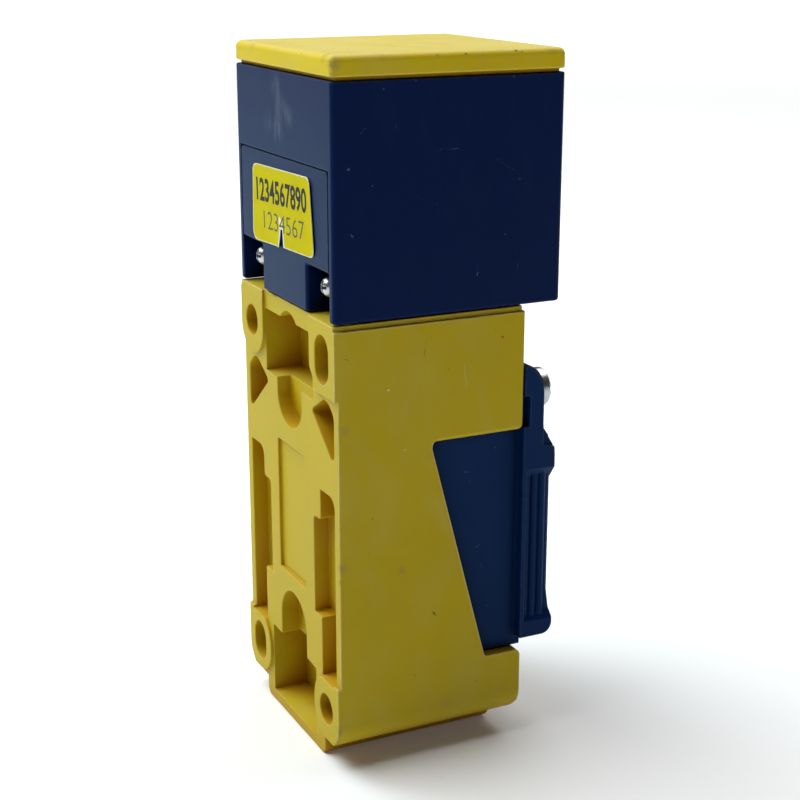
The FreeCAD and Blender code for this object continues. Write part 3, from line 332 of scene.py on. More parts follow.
def navy_plastic(name, dark, light, strokes, spots, smears):
    # painted reflection: the specular tint turns the navy's sheen cool blue, standing in for cool light reflected in it
    f = Finish(name, Specular_IOR_Level=0.105, Specular_Tint=(0.40, 0.72, 1.0, 1.0))
    drift = f.noise(f.at, 0.05, 2.0)
    haze = f.noise(f.scaled(f.at, (1.0, 1.0, 0.5)), 0.2, 5.0, 0.62, 0.5)
    rub = f.noise(f.turned(f.scaled(f.at, (1.0, 1.0, 0.2)), (1, 0, 0), -14), 1.0, 4.0, 0.66)
    grain = f.noise(f.at, 6.0, 3.0, 0.6)
    body = f.mixed(drift, dark, light)
    film = f.step(haze, 0.45, 0.8) * 0.012 + f.step(rub, 0.6, 0.85) * 0.012
    body = f.mixed(film, body, (0.16, 0.19, 0.28))
    # dust specks and short light nicks
    gap, chance = f.cells(f.at, 0.34)
    speck = f.step(gap, 0.040, 0.018) * f.step(chance, 0.86, 0.88)
    body = f.mixed(speck * 0.05, body, (0.28, 0.33, 0.42))
    lines = f.turned(f.at, (1, 0, 0), 33)
    gap2, chance2 = f.cells(f.scaled(lines, (1.0, 0.24, 3.2)), 0.16)
    nick = f.step(gap2, 0.035, 0.012) * f.step(chance2, 0.6, 0.7)
    body = f.mixed(nick * 0.035, body, (0.24, 0.30, 0.42))
    wobble = Wire(f, f.vector("ADD", f.at, f.scaled(f.joined(haze - 0.5, rub - 0.5, haze - 0.5), 1.2)).outputs[0])
    for where, size, share in smears:
        cloud = f.near_point(where, size, 0.95) * f.step(rub, 0.34, 0.66)
        body = f.mixed(cloud * share, body, (0.30, 0.34, 0.42))
    for points, width, share in strokes:
        body = f.mixed(f.near_line(points, width, wobble) * share * 0.6, body, (0.20, 0.24, 0.36))
    for where, size, share in spots:
        body = f.mixed(f.near_point(where, size, 0.8) * share * 0.32, body, (0.34, 0.40, 0.48))
    # painted shade: the gap round the piece and other hemmed-in places are darkened towards black, for Y below about 13
    # mm
    body = f.mixed(f.step(f.cavity(3.0), 0.17, 0.30) * f.step(f.y, 13.5, 12.5) * 0.75, body, (0.0003, 0.0016, 0.008))
    # rounded edges are slightly lighter, partly polished by wear and partly a painted highlight where light catches
    # them
    patch = f.noise(f.at, 0.6, 4.0, 0.62)
    edge_highlight_and_wear = f.edges(0.45, 0.008, 0.10) * f.step(f.cavity(1.2), 0.30, 0.12)
    body = f.mixed(edge_highlight_and_wear * (0.22 + 0.40 * f.step(patch, 0.35, 0.75)), body, (0.095, 0.130, 0.190))
    f.colour(body)
    f.roughness(0.40 + film * 3.0 + grain * 0.10)
    f.relief(grain * 0.008 + f.noise(f.at, 1.8, 2.0) * 0.006, round_edges=0.2)
    return f.mat


def plated_steel(name, tone, low, high):
    f = Finish(name, Metallic=1.0)
    cloud = f.noise(f.at, 1.4, 4.0, 0.6)
    brush = f.noise(f.scaled(f.at, (9.0, 1.0, 2.0)), 2.2, 3.0, 0.7)
    dull = f.step(f.cavity(0.8), 0.35, 0.95)
    body = f.mixed(cloud, tuple(c * 0.82 for c in tone), tone)
    body = f.mixed(dull * 0.6, body, (0.16, 0.15, 0.13))
    f.colour(body)
    f.roughness(low + cloud * (high - low) + dull * 0.2)
    f.relief(brush * 0.006 + cloud * 0.006, round_edges=0.12)
    return f.mat


def yellow_metal(name, bright, dark):
    f = Finish(name, Metallic=1.0)
    cloud = f.noise(f.at, 0.9, 5.0, 0.65, 0.5)
    lines = f.noise(f.scaled(f.at, (1.0, 6.0, 1.0)), 2.0, 3.0, 0.7)
    body = f.mixed(f.step(cloud, 0.38, 0.7), bright, dark)
    f.colour(body)
    f.roughness(0.26 + cloud * 0.22)
    f.relief(lines * 0.006, round_edges=0.1)
    return f.mat


def rubber():
    f = Finish("seal_rubber", Specular_IOR_Level=0.3)
    dust = f.noise(f.at, 0.8, 5.0, 0.65)
    pores = f.noise(f.at, 9.0, 2.0)
    f.colour(f.mixed(f.step(dust, 0.5, 0.8) * 0.35, (0.010, 0.010, 0.011), (0.09, 0.088, 0.082)))
    f.roughness(0.66 + dust * 0.2)
    f.relief(pores * 0.02)
    return f.mat


def speckled(name, low_tone, high_tone, size, rough, height, spec=0.4):
    """Sintered, filled or glass-loaded material: two tones in fine grains."""
    f = Finish(name, Specular_IOR_Level=spec)
    grains = f.noise(f.at, size, 4.0, 0.7)
    cloud = f.noise(f.at, 0.3, 3.0, 0.6)
    body = f.mixed(f.clamp(grains * 0.7 + cloud * 0.4 - 0.1), low_tone, high_tone)
    f.colour(body)
    f.roughness(rough + grains * 0.15)
    f.relief(grains * height, round_edges=0.12)
    return f.mat


def copper_winding():
    f = Finish("copper_wire", Metallic=0.85)
    # wire laid in close turns, each about 0.35 mm thick
    reach = f.calc("SQRT", f.x * f.x + (f.y + 0.45) * (f.y + 0.45))
    turn = f.calc("SINE", (f.z * 2.0 + reach * 2.0) * math.pi / 0.35)
    lay = f.noise(f.at, 0.8, 3.0)
    body = f.mixed(f.clamp(turn * 0.3 + lay * 0.6), (0.30, 0.075, 0.018), (0.72, 0.30, 0.11))
    f.colour(body)
    f.roughness(0.24 + lay * 0.15)
    f.relief(turn * 0.06)
    return f.mat


def laminate():
    f = Finish("board_laminate", Specular_IOR_Level=0.5)
    # woven glass under green lacquer, with copper runs on a 1.27 mm grid
    weave = f.calc("SINE", f.x * 9.0) * f.calc("SINE", f.y * 9.0)
    gap, chance = f.cells(f.scaled(f.at, (1.0, 1.0, 0.1)), 0.30)
    edge, _ = f.cells(f.scaled(f.at, (1.0, 1.0, 0.1)), 0.30, feature="DISTANCE_TO_EDGE")
    trace = f.step(edge, 0.035, 0.06)
    pad = f.step(gap, 0.16, 0.12) * f.step(chance, 0.4, 0.45)
    body = f.mixed(trace * 0.75, (0.020, 0.105, 0.035), (0.008, 0.052, 0.018))
    body = f.mixed(pad, body, (0.55, 0.52, 0.46))
    f.colour(body)
    f.roughness(0.30 + weave * 0.04)
    f.relief(weave * 0.006 + trace * -0.02 + pad * 0.03)
    return f.mat


def tinted_clear():
    f = Finish("led_clear", IOR=1.5, Transmission_Weight=0.75)
    cloud = f.noise(f.at, 1.2, 3.0)
    ring = f.calc("SINE", f.calc("SQRT", f.x * f.x + (f.z - 84.0) * (f.z - 84.0)) * 9.0)
    f.colour(f.mixed(cloud, (0.86, 0.83, 0.78), (0.95, 0.93, 0.90)))
    f.roughness(0.12 + cloud * 0.12)
    f.relief(ring * 0.012)
    return f.mat


def lead_insulation():
    f = Finish("lead_insulation", Specular_IOR_Level=0.4)
    # one core colour per quarter about the swivel axis, so that each lead can be told apart
    side = f.step(f.x, -0.02, 0.02)
    front = f.step(f.y, -0.47, -0.43)
    matt = f.noise(f.at, 3.0, 3.0)
    near = f.mixed(side, (0.10, 0.035, 0.012), (0.012, 0.012, 0.013))
    far = f.mixed(side, (0.010, 0.045, 0.20), (0.55, 0.55, 0.53))
    body = f.mixed(front, near, far)
    f.colour(f.mixed(matt * 0.15, body, (0.3, 0.3, 0.3)))
    f.roughness(0.36 + matt * 0.2)
    f.relief(matt * 0.01)
    return f.mat


def paper(outline, torn):
    """Printed paper: yellow ink that stops short of the outline, white paper along it and on the torn lip."""
    f = Finish("label_paper", Specular_IOR_Level=0.02)
    fibre = f.noise(f.scaled(f.at, (1.0, 1.0, 2.5)), 3.2, 5.0, 0.68, 0.4)
    blot = f.noise(f.at, 0.28, 4.0, 0.6)
    rub = f.noise(f.turned(f.scaled(f.at, (0.25, 1.0, 1.6)), (0, 1, 0), 20), 1.2, 3.0, 0.65)
    ragged = f.noise(f.at, 1.7, 4.0, 0.7)
    body = f.mixed(f.step(blot, 0.40, 0.75), (0.53, 0.452, 0.0015), (0.495, 0.418, 0.0020))
    body = f.mixed(f.step(rub, 0.62, 0.82) * 0.14, body, (0.32, 0.285, 0.015))
    white = f.mixed(fibre, (0.60, 0.60, 0.56), (0.78, 0.78, 0.75))
    jitter = f.scaled(f.joined(ragged - 0.5, 0.0, fibre - 0.5), 0.7)
    where = Wire(f, f.vector("ADD", f.at, jitter).outputs[0])
    body = f.mixed(f.band(outline, 0.15, where) * 0.85, body, white)
    body = f.mixed(f.band(torn, 0.36, where), body, white)
    # a crease that runs on from the tear
    tip = torn[3]
    crease = f.near_line((tip, (tip[0] + 0.5, tip[1], tip[2] + 1.6), (tip[0] + 0.1, tip[1], tip[2] + 3.0)), 0.16, where)
    body = f.mixed(crease * 0.45, body, (0.30, 0.27, 0.10))
    f.colour(body)
    f.roughness(0.48 + fibre * 0.16)
    f.relief(fibre * 0.012 - crease * 0.03)
    return f.mat


def print_ink(name, tone, wear):
    f = Finish(name, Specular_IOR_Level=0.10)
    worn = f.noise(f.at, 2.6, 4.0, 0.7)
    f.colour(f.mixed(f.step(worn, wear, wear + 0.2) * 0.7, tone, (0.42, 0.38, 0.03)))
    f.roughness(0.5 + worn * 0.15)
    f.relief(worn * 0.006)
    return f.mat


DARK, GREY, PALE = (0.06, 0.045, 0.018), (0.23, 0.19, 0.10), (0.72, 0.66, 0.36)
S = 20.0
base_yellow = yellow_plastic(
    "yellow_plastic_base",
    strokes=[
        (((S, -4.7, 73.0), (S, -5.0, 71.0), (S, -5.2, 69.7)), 0.13, DARK, 0.75),
        (((S, -19.0, 70.9), (S, -17.9, 70.4)), 0.12, DARK, 0.6),
        (((S, -18.6, 70.0), (S, -17.6, 69.8)), 0.10, DARK, 0.5),
        (((S, -9.7, 30.7), (S, -9.8, 29.5)), 0.14, DARK, 0.7),
        (((S, -20.3, 9.2), (S, -20.2, 6.2)), 0.45, GREY, 0.55),
        (((S, -3.4, 26.0), (S, -2.8, 24.9)), 0.24, DARK, 0.8),
        (((-6.9, -19.9, 75.75), (-4.2, -19.95, 75.85)), 0.42, DARK, 0.8),
        (((6.2, -19.95, 75.85), (8.4, -19.9, 75.75)), 0.42, DARK, 0.8),
        (((0.4, -19.95, 75.8), (2.2, -19.95, 75.8)), 0.30, DARK, 0.6),
        (((S, 2.0, 68.5), (S, 2.6, 63.0)), 0.10, PALE, 0.35),
        (((S, -12.5, 50.5), (S, -9.0, 47.5)), 0.09, PALE, 0.30),
    ],
    spots=[
        ((S, -11.3, 64.9), 0.28, PALE, 0.8), ((S, -8.4, 54.7), 0.22, PALE, 0.7),
        ((S, 9.0, 71.2), 0.30, DARK, 0.7), ((S, -14.2, 44.0), 0.22, DARK, 0.5),
        ((S, 5.0, 11.5), 0.22, DARK, 0.5), ((S, -6.5, 15.0), 0.2, DARK, 0.4),
    ],
    smears=[((S, -18.8, 59.2), 1.2, 0.50), ((S, -9.0, 34.2), 1.0, 0.50), ((S, -0.5, 8.8), 2.2, 0.22)],
    worn=[
        ((S, -19.6, 36.4), 1.3, 0.70), ((S, -20.0, 34.0), 0.9, 0.55), ((S, -20.3, 60.0), 0.9, 0.40),
        ((-S, -20.2, 30.0), 1.2, 0.50), ((0.0, -20.3, 3.4), 2.0, 0.35), ((S, -20.4, 5.4), 1.5, 0.60), ((S, -20.4, 8.0), 0.9, 0.45),
    ],
    lighter=0.955)
cap_yellow = yellow_plastic(
    "yellow_plastic_cap",
    strokes=[
        (((5.0, -4.6, 116.3), (6.8, -3.2, 116.3)), 0.22, DARK, 0.7),
        (((12.0, -14.0, 116.3), (15.5, -10.5, 116.3)), 0.16, GREY, 0.5),
        (((-8.0, 4.0, 116.3), (3.0, 8.0, 116.3)), 0.14, GREY, 0.4),
    ],
    spots=[
        ((15.4, -15.2, 116.3), 0.35, DARK, 0.6), ((-4.0, -9.0, 116.3), 0.3, DARK, 0.4), ((19.9, 1.8, 115.9), 0.34, DARK, 0.7),
        ((19.7, 10.6, 116.1), 0.40, DARK, 0.7), ((19.8, 11.6, 115.9), 0.30, GREY, 0.7), ((19.9, -3.0, 115.8), 0.24, DARK, 0.5),
        ((-2.0, -20.3, 116.0), 0.30, GREY, 0.6), ((8.5, -20.3, 116.0), 0.34, GREY, 0.6),
    ],
    smears=[((-8.0, -17.5, 116.3), 2.6, 0.25), ((4.0, 6.0, 116.3), 5.0, 0.12)],
    worn=[
        ((19.7, -20.1, 115.0), 1.7, 0.75), ((19.9, -20.2, 113.4), 1.2, 0.60), ((17.0, -20.3, 116.0), 1.4, 0.55), ((20.0, -12.0, 116.2), 1.2, 0.30),
        ((-12.0, -20.4, 116.1), 1.6, 0.30), ((20.0, 17.0, 116.0), 1.4, 0.35), ((-19.8, 19.0, 115.6), 1.6, 0.40),
    ],
    lighter=1.2, settled=0.34)
navy_head = navy_plastic(
    "navy_plastic_head", (0.0008, 0.0062, 0.049), (0.0012, 0.0080, 0.057),
    strokes=[
        (((S, -11.4, 108.2), (S, -10.4, 106.4), (S, -9.7, 104.9)), 0.11, 0.42),
        (((S, -16.2, 104.5), (S, -14.8, 105.8)), 0.10, 0.30),
        (((S, -3.8, 101.6), (S, -2.1, 101.8)), 0.10, 0.35), (((S, -1.2, 101.7), (S, 1.4, 101.8)), 0.10, 0.38),
        (((S, 4.0, 83.4), (S, 4.3, 82.3), (S, 4.1, 81.4)), 0.16, 0.60),
        (((S, 11.0, 86.6), (S, 11.2, 84.0), (S, 11.4, 82.0)), 0.09, 0.30),
        (((S, -17.5, 90.0), (S, -17.1, 89.2)), 0.16, 0.55),
        (((S, -7.0, 95.0), (S, 3.5, 91.0)), 0.08, 0.16), (((S, 6.0, 100.5), (S, 13.0, 96.2)), 0.08, 0.16),
    ],
    spots=[
        ((S, -17.8, 99.7), 0.30, 0.85), ((S, -13.9, 97.0), 0.20, 0.5), ((S, -12.0, 111.2), 0.22, 0.45),
        ((S, -6.7, 112.2), 0.2, 0.5), ((S, 10.1, 112.2), 0.24, 0.55), ((S, 9.1, 87.8), 0.22, 0.4),
        ((S, 11.5, 96.4), 0.30, 0.25), ((-4.0, -20.45, 78.6), 0.22, 0.5), ((3.0, -20.45, 80.2), 0.16, 0.4),
    ],
    smears=[
        ((-2.1, -20.45, 110.2), 3.0, 0.16), ((0.2, -20.45, 107.0), 3.4, 0.20), ((-1.4, -20.45, 103.4), 3.0, 0.20),
        ((-5.6, -20.45, 104.3), 2.4, 0.16), ((3.3, -20.45, 105.8), 2.6, 0.14),
    ])
navy_cover = navy_plastic(
    "navy_plastic_cover", (0.0014, 0.0142, 0.070), (0.0022, 0.0170, 0.082),
    strokes=[
        (((18.2, 2.8, 48.9), (18.2, 4.2, 48.5)), 0.20, 0.30), (((18.2, 4.0, 47.2), (18.2, 4.6, 46.2)), 0.14, 0.22),
        (((18.2, 5.4, 34.8), (18.2, 6.4, 35.4)), 0.20, 0.32), (((18.2, 6.4, 32.0), (18.2, 7.0, 30.6)), 0.16, 0.24),
        (((18.2, 4.4, 45.0), (18.2, 8.0, 38.0)), 0.08, 0.22), (((18.2, 10.0, 26.0), (18.2, 11.5, 19.0)), 0.08, 0.25),
    ],
    spots=[((18.2, 9.0, 52.0), 0.2, 0.35), ((18.2, 8.0, 24.0), 0.2, 0.35)],
    smears=[])

# paper label on the head's plate: outline (X, Z) with corner radii, and its face in Y
LABEL_Y = -20.55
LABEL = [(-13.2, 84.05, 1.7), (-1.05, 84.6, 0.10), (-0.75, 86.2, 0.10), (-0.7, 87.6, 0.10), (0.0, 87.6, 0.10),
         (0.1, 86.2, 0.10), (0.35, 84.75, 0.10), (13.2, 85.15, 1.7), (11.6, 97.5, 1.7), (-12.6, 96.9, 1.7)]


def rounded(corners, step):
    """Points along a closed outline with rounded corners, about `step` apart."""
    arcs, n = [], len(corners)
    for i, (x, z, r) in enumerate(corners):
        here = Vector((x, z))
        back = (Vector(corners[i - 1][:2]) - here).normalized()
        ahead_ = (Vector(corners[(i + 1) % n][:2]) - here).normalized()
        half = back.angle(ahead_) / 2.0
        reach = r / math.tan(half)
        centre = here + (back + ahead_).normalized() * (r / math.sin(half))
        a, b = here + back * reach - centre, here + ahead_ * reach - centre
        sweep = a.angle_signed(b)
        count = max(2, int(abs(sweep) * r / step) + 2)
        arcs.append([centre + Matrix.Rotation(-sweep * k / (count - 1), 2) @ a for k in range(count)])
    path = []
    for i, arc in enumerate(arcs):
        path += arc
        run = arcs[(i + 1) % n][0] - arc[-1]
        count = int(run.length / step)
        path += [arc[-1] + run * (k / (count + 1)) for k in range(1, count + 1)]
    return path


LABEL_EDGE = rounded(LABEL, 2.4)
LABEL_LOOP = [(p.x, LABEL_Y, p.y) for p in LABEL_EDGE]

FINISH = {
    "yellow_plastic": base_yellow,
    "navy_plastic": navy_head,
    "screw_steel": plated_steel("screw_steel", (0.56, 0.57, 0.59), 0.26, 0.40),
    "spring_steel": plated_steel("spring_steel", (0.33, 0.34, 0.37), 0.25, 0.42),
    "brass": yellow_metal("brass", (0.74, 0.50, 0.20), (0.46, 0.27, 0.10)),
    "tinned_brass": yellow_metal("tinned_brass", (0.74, 0.72, 0.66), (0.55, 0.50, 0.40)),
    "label_paper": paper(LABEL_LOOP + LABEL_LOOP[:1], ((-1.15, LABEL_Y, 84.7), (-0.85, LABEL_Y, 86.2), (-0.75, LABEL_Y, 87.6), (-1.1, LABEL_Y, 89.2),
         (-0.4, LABEL_Y, 88.4), (0.1, LABEL_Y, 87.4), (0.2, LABEL_Y, 86.2), (0.45, LABEL_Y, 84.75))),
    "seal_rubber": rubber(),
    "ferrite": speckled("ferrite", (0.020, 0.020, 0.021), (0.075, 0.073, 0.072), 4.0, 0.55, 0.03),
    "bobbin_plastic": speckled("bobbin_plastic", (0.62, 0.60, 0.54), (0.74, 0.72, 0.66), 3.0, 0.42, 0.012),
    "copper_wire": copper_winding(),
    "board_laminate": laminate(),
    "component_black": speckled("component_black", (0.010, 0.010, 0.011), (0.030, 0.030, 0.032), 8.0, 0.45, 0.012),
    "component_tan": speckled("component_tan", (0.36, 0.25, 0.14), (0.48, 0.36, 0.21), 5.0, 0.35, 0.008),
    "potting_resin": speckled("potting_resin", (0.008, 0.008, 0.010), (0.016, 0.016, 0.019), 1.2, 0.16, 0.006, 0.5),
    "led_clear": tinted_clear(),
    "terminal_plastic": speckled("terminal_plastic", (0.20, 0.205, 0.21), (0.27, 0.275, 0.28), 5.0, 0.45, 0.012),
    "lead_insulation": lead_insulation(),
}
OWN_FINISH = {"active_face_cap": cap_yellow, "terminal_cover": navy_cover}
SLOT_OF = {n: o.material_slots[0].material.name.split(".")[0] for n, o in NODES.items()}
for n, o in NODES.items():
    for s in o.material_slots:
        s.material = OWN_FINISH.get(n, FINISH[SLOT_OF[n]])


# ------------------------------------------------------------------ moulded and turned edges
def shaded(mesh, strips):
    """Flat faces shade flat right up to their rounded edges; `strips` are the faces of those edges."""
    normals, areas = [p.normal.copy() for p in mesh.polygons], [p.area for p in mesh.polygons]
    wide, narrow = math.cos(math.radians(50.0)), math.cos(math.radians(30.0))
    around = [[] for _ in mesh.vertices]
    for p in mesh.polygons:
        for v in p.vertices:
            around[v].append(p.index)
    result = []
    for p in mesh.polygons:
        for v in p.vertices:
            total = Vector((0.0, 0.0, 0.0))
            for q in around[v]:
                limit = wide if p.index in strips or q in strips else narrow
                if normals[q].dot(normals[p.index]) > limit:
                    total += normals[q] * areas[q]
            result.append(total.normalized() if total.length > 0.0 else normals[p.index])
    mesh.normals_split_custom_set(result)


def softened(name, width, segments=2, angle=28.0):
    """The node's own shape with its sharp edges rounded by `width` millimetres."""
    src = bmesh.new()
    src.from_mesh(NODES[name].data)
    bmesh.ops.remove_doubles(src, verts=src.verts, dist=3e-6)
    bmesh.ops.dissolve_limit(src, angle_limit=math.radians(0.6), verts=src.verts, edges=src.edges, delimit={"NORMAL"})
    src.edges.index_update()
    src.edges.ensure_lookup_table()
    hard = [e.index for e in src.edges if len(e.link_faces) == 2 and e.calc_face_angle(0.0) > math.radians(angle)]
    ends = {i: np.array([v.co for v in src.edges[i].verts], float) for i in hard}
    ref = BVHTree.FromBMesh(src)
    corners = np.array([v.co for v in src.verts], float)
    low, high = corners.min(0) - 1e-6, corners.max(0) + 1e-6
    skip, strips = set(), set()
    best = src
    for turn in range(14):
        bm = src.copy()
        bm.edges.ensure_lookup_table()
        made = bmesh.ops.bevel(bm, geom=[bm.edges[i] for i in hard if i not in skip], offset=width * MM, offset_type="OFFSET",
                               segments=segments, profile=0.5, affect="EDGES", clamp_overlap=False, loop_slide=True)
        bm.faces.ensure_lookup_table()
        bm.normal_update()
        faults = []
        for v in bm.verts:
            gap = ref.find_nearest(v.co)[3]
            if gap > 0.85 * width * MM or any(v.co[k] < low[k] or v.co[k] > high[k] for k in range(3)):
                faults.append(v.co.copy())
        for loops in bm.calc_loop_triangles():
            a, b, c = (l.vert.co for l in loops)
            mid, face_up = (a + b + c) / 3.0, (b - a).cross(c - a)
            _, normal, _, gap = ref.find_nearest(mid)
            if (face_up.length > 2e-11 and face_up.normalized().dot(normal) < -0.2) or gap > 0.9 * width * MM:
                faults.append(mid)
        tree = BVHTree.FromBMesh(bm)
        for a, b in tree.overlap(tree):
            if a < b and not set(bm.faces[a].verts) & set(bm.faces[b].verts):
                faults += [bm.faces[a].calc_center_median(), bm.faces[b].calc_center_median()]
        if not faults:
            best = bm
            for face in bm.faces:
                face.smooth = False
            for face in made["faces"]:
                face.smooth = True
            # where a rounding runs out to nothing, its faces have no area and go
            bmesh.ops.remove_doubles(bm, verts=bm.verts, dist=1e-6)
            bm.normal_update()
            bm.faces.index_update()
            strips = {face.index for face in bm.faces if face.smooth}
            break
        bm.free()
        at = np.array(faults, float)
        reach = (1.5 + 0.35 * turn) * width * MM
        for i in [i for i in hard if i not in skip]:
            a, b = ends[i]
            run = b - a
            part = np.clip((at - a) @ run / max(run @ run, 1e-18), 0.0, 1.0)
            if np.min(np.linalg.norm(at - (a + part[:, None] * run), axis=1)) < reach:
                skip.add(i)
    mesh = bpy.data.meshes.new(name + "_soft")
    best.to_mesh(mesh)
    print("softened", name, "edges", len(hard), "left sharp", len(skip), "rounds", turn + 1, "plain", best is src)
    if best is not src:
        best.free()
    src.free()
    mesh.polygons.foreach_set("use_smooth", [True] * len(mesh.polygons))
    shaded(mesh, strips)
    mesh.materials.append(OWN_FINISH.get(name, FINISH[SLOT_OF[name]]))
    piece = bpy.data.objects.new(name + "_soft", mesh)
    SCENE.collection.objects.link(piece)
    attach(piece, BODY_OF[name])
    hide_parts(name)
    return piece


for node, width in (("base_housing", 0.16), ("head_shell", 0.22), ("head_carrier", 0.16), ("active_face_cap", 0.2),
                    ("terminal_cover", 0.18), ("head_screws", 0.1), ("cover_screw_left", 0.1), ("cover_screw_right", 0.1)):
    softened(node, width)


# ------------------------------------------------------------------ paper label with plain numbers
def lift(x, z):
    """How far the paper stands off the plate here, in millimetres."""
    tear = math.exp(-((x + 1.0) / 0.9) ** 2) * max(0.0, min(1.0, (88.6 - z) / 4.0)) * (1.0 if x < -0.3 else 0.25)
    edge = max(0.0, 1.0 - (13.2 - (z - 85.15) * 0.13 - x) / 1.6) ** 2
    corner = 0.6 * math.exp(-((x + 12.6) ** 2 + (z - 96.9) ** 2) / 2.0)
    return 0.32 * tear + 0.16 * edge + 0.12 * corner


def piece_of(name, mesh, node, finish):
    mesh.materials.clear()
    mesh.materials.append(finish)
    piece = bpy.data.objects.new(name, mesh)
    SCENE.collection.objects.link(piece)
    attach(piece, BODY_OF[node])
    return piece


bm = bmesh.new()
bm.faces.new([bm.verts.new((p.x, LABEL_Y, p.y)) for p in rounded(LABEL, 0.5)])
for axis, first, last in ((0, -13, 12), (2, 84, 97)):
    for k in range(first, last + 1):
        at = Vector((0.0, LABEL_Y, 0.0))
        at[axis] = k + 0.013
        normal = Vector((0.0, 0.0, 0.0))
        normal[axis] = 1.0
        bmesh.ops.bisect_plane(bm, geom=list(bm.verts) + list(bm.edges) + list(bm.faces), dist=1e-6, plane_co=at, plane_no=normal)
bm.normal_update()
for face in bm.faces:
    if face.normal.y > 0:
        face.normal_flip()
front = list(bm.verts)
back = bmesh.ops.extrude_face_region(bm, geom=list(bm.faces), use_keep_orig=True)
for v in [g for g in back["geom"] if isinstance(g, bmesh.types.BMVert)]:
    v.co.y += 0.085
for v in bm.verts:
    v.co.y -= lift(v.co.x, v.co.z)
bmesh.ops.recalc_face_normals(bm, faces=bm.faces)
bmesh.ops.scale(bm, vec=(MM, MM, MM), verts=bm.verts)
mesh = bpy.data.meshes.new("printed_label")
bm.to_mesh(mesh)
bm.free()
label = piece_of("printed_label", mesh, "paper_label", FINISH["label_paper"])
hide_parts("paper_label")


def printed(name, text, x, z, tall, stretch, bold, tilt, finish):
    """A line of plain numbers on the label; `tall` is the height of a digit."""
    line = bpy.data.curves.new(name, "FONT")
    line.body, line.size, line.offset, line.extrude = text, tall / 0.72, bold, 0.006
    line.align_x, line.space_character, line.resolution_u = "CENTER", 1.0, 4
    temp = bpy.data.objects.new(name + "_line", line)
    SCENE.collection.objects.link(temp)
    bpy.context.view_layer.update()
    mesh = bpy.data.meshes.new_from_object(temp.evaluated_get(bpy.context.evaluated_depsgraph_get()))
    bpy.data.objects.remove(temp)
    bpy.data.curves.remove(line)
    turn = math.radians(tilt)
    for v in mesh.vertices:
        a, b, c = v.co.x * stretch, v.co.y, v.co.z
        px, pz = x + a * math.cos(turn) - b * math.sin(turn), z + a * math.sin(turn) + b * math.cos(turn)
        v.co = Vector((px, LABEL_Y - 0.008 - c - lift(px, pz), pz)) * MM
    bm = bmesh.new()
    bm.from_mesh(mesh)
    bmesh.ops.remove_doubles(bm, verts=bm.verts, dist=1e-6)
    bmesh.ops.recalc_face_normals(bm, faces=bm.faces)
    bm.to_mesh(mesh)
    bm.free()
    mesh.polygons.foreach_set("use_smooth", [False] * len(mesh.polygons))
    mesh.update()
    return piece_of(name, mesh, "paper_label", finish)


printed("label_numbers_upper", "1234567890", -0.75, 91.5, 3.7, 0.86, 0.13, 2.4, print_ink("print_dark", (0.020, 0.020, 0.018), 0.66))
printed("label_numbers_lower", "1234567", 0.1, 87.0, 3.1, 1.22, -0.03, 2.6, print_ink("print_grey", (0.10, 0.095, 0.05), 0.55))


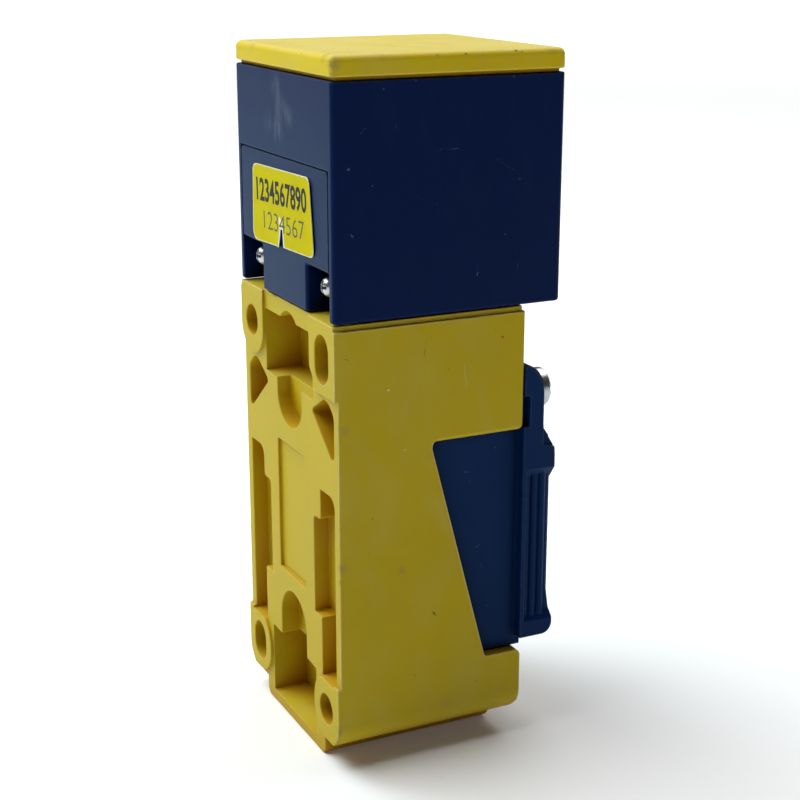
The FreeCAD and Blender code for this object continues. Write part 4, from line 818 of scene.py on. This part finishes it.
# ------------------------------------------------------------------ thread of the cable inlet
def inlet_thread(pitch=1.41, low=1.1, high=14.3, root=9.56, crest=9.08, centre_y=-0.45, per_turn=72):
    count = int((high - low) / pitch * per_turn)
    verts, faces = [], []
    for i in range(count + 1):
        turn = 2.0 * math.pi * i / per_turn
        mid = low + pitch * i / per_turn
        ease = min(1.0, i / 14.0, (count - i) / 14.0)
        tip = root - (root - crest) * max(0.02, ease)
        for r, dz in ((root, -0.60), (tip, -0.12), (tip, 0.12), (root, 0.60)):
            verts.append((r * math.cos(turn) * MM, (centre_y + r * math.sin(turn)) * MM, (mid + dz) * MM))
        if i:
            a, b = 4 * (i - 1), 4 * i
            faces += [(a + k, b + k, b + (k + 1) % 4, a + (k + 1) % 4) for k in range(4)]
    faces += [(0, 1, 2, 3), tuple(4 * count + k for k in (3, 2, 1, 0))]
    mesh = bpy.data.meshes.new("inlet_thread")
    mesh.from_pydata(verts, [], faces)
    bm = bmesh.new()
    bm.from_mesh(mesh)
    bmesh.ops.recalc_face_normals(bm, faces=bm.faces)
    bm.to_mesh(mesh)
    bm.free()
    piece_of("inlet_thread", mesh, "base_housing", base_yellow)


inlet_thread()

# ------------------------------------------------------------------ floor, light
FLOOR = 9.0
floor_mesh = bpy.data.meshes.new("floor")
floor_mesh.from_pydata([(-FLOOR, -FLOOR, 0), (FLOOR, -FLOOR, 0), (FLOOR, FLOOR, 0), (-FLOOR, FLOOR, 0)], [], [(0, 1, 2, 3)])
floor = bpy.data.objects.new("floor", floor_mesh)
floor.location.z = -0.00005
SCENE.collection.objects.link(floor)
pale = Finish("floor", Roughness=0.9, Specular_IOR_Level=0.1)
# painted light: a patch of floor to the left is tinted cool blue, standing in for cool light falling there
cool_light_patch = pale.step(pale.x * -0.87 - pale.y * 0.50, 180.0, 330.0) * pale.step(pale.y, -20.0, -90.0)
pale.colour(pale.mixed(cool_light_patch, (0.86, 0.86, 0.86), (0.66, 0.86, 0.90)))
# painted light: the floor glows, faintly near the object and more strongly with distance, standing in for an evenly lit
# sweep behind
far = pale.step(Wire(pale, pale.vector("LENGTH", pale.at).outputs["Value"]), 250.0, 2400.0)
pale.plug(pale.bsdf.inputs["Emission Strength"], FLOOR_NEAR + far * (FLOOR_FAR - FLOOR_NEAR))
pale.bsdf.inputs["Emission Color"].default_value = (1.0, 1.0, 1.0, 1.0)
floor_mesh.materials.append(pale.mat)

world = bpy.data.worlds.new("studio")
world.use_nodes = True
world.node_tree.nodes["Background"].inputs["Color"].default_value = (0.90, 0.96, 1.0, 1.0)
world.node_tree.nodes["Background"].inputs["Strength"].default_value = SKY
SCENE.world = world


def soft_light(name, place, aim, size, power, tone=(1.0, 1.0, 1.0)):
    lamp = bpy.data.lights.new(name, "AREA")
    lamp.shape, lamp.size, lamp.energy, lamp.color = "SQUARE", size, power, tone
    o = bpy.data.objects.new(name, lamp)
    o.location = place
    o.rotation_euler = (Vector(aim) - Vector(place)).to_track_quat("-Z", "Y").to_euler()
    SCENE.collection.objects.link(o)


for name, place, aim, size, power, tone in LAMPS:
    soft_light(name, place, aim, size, power, tone)
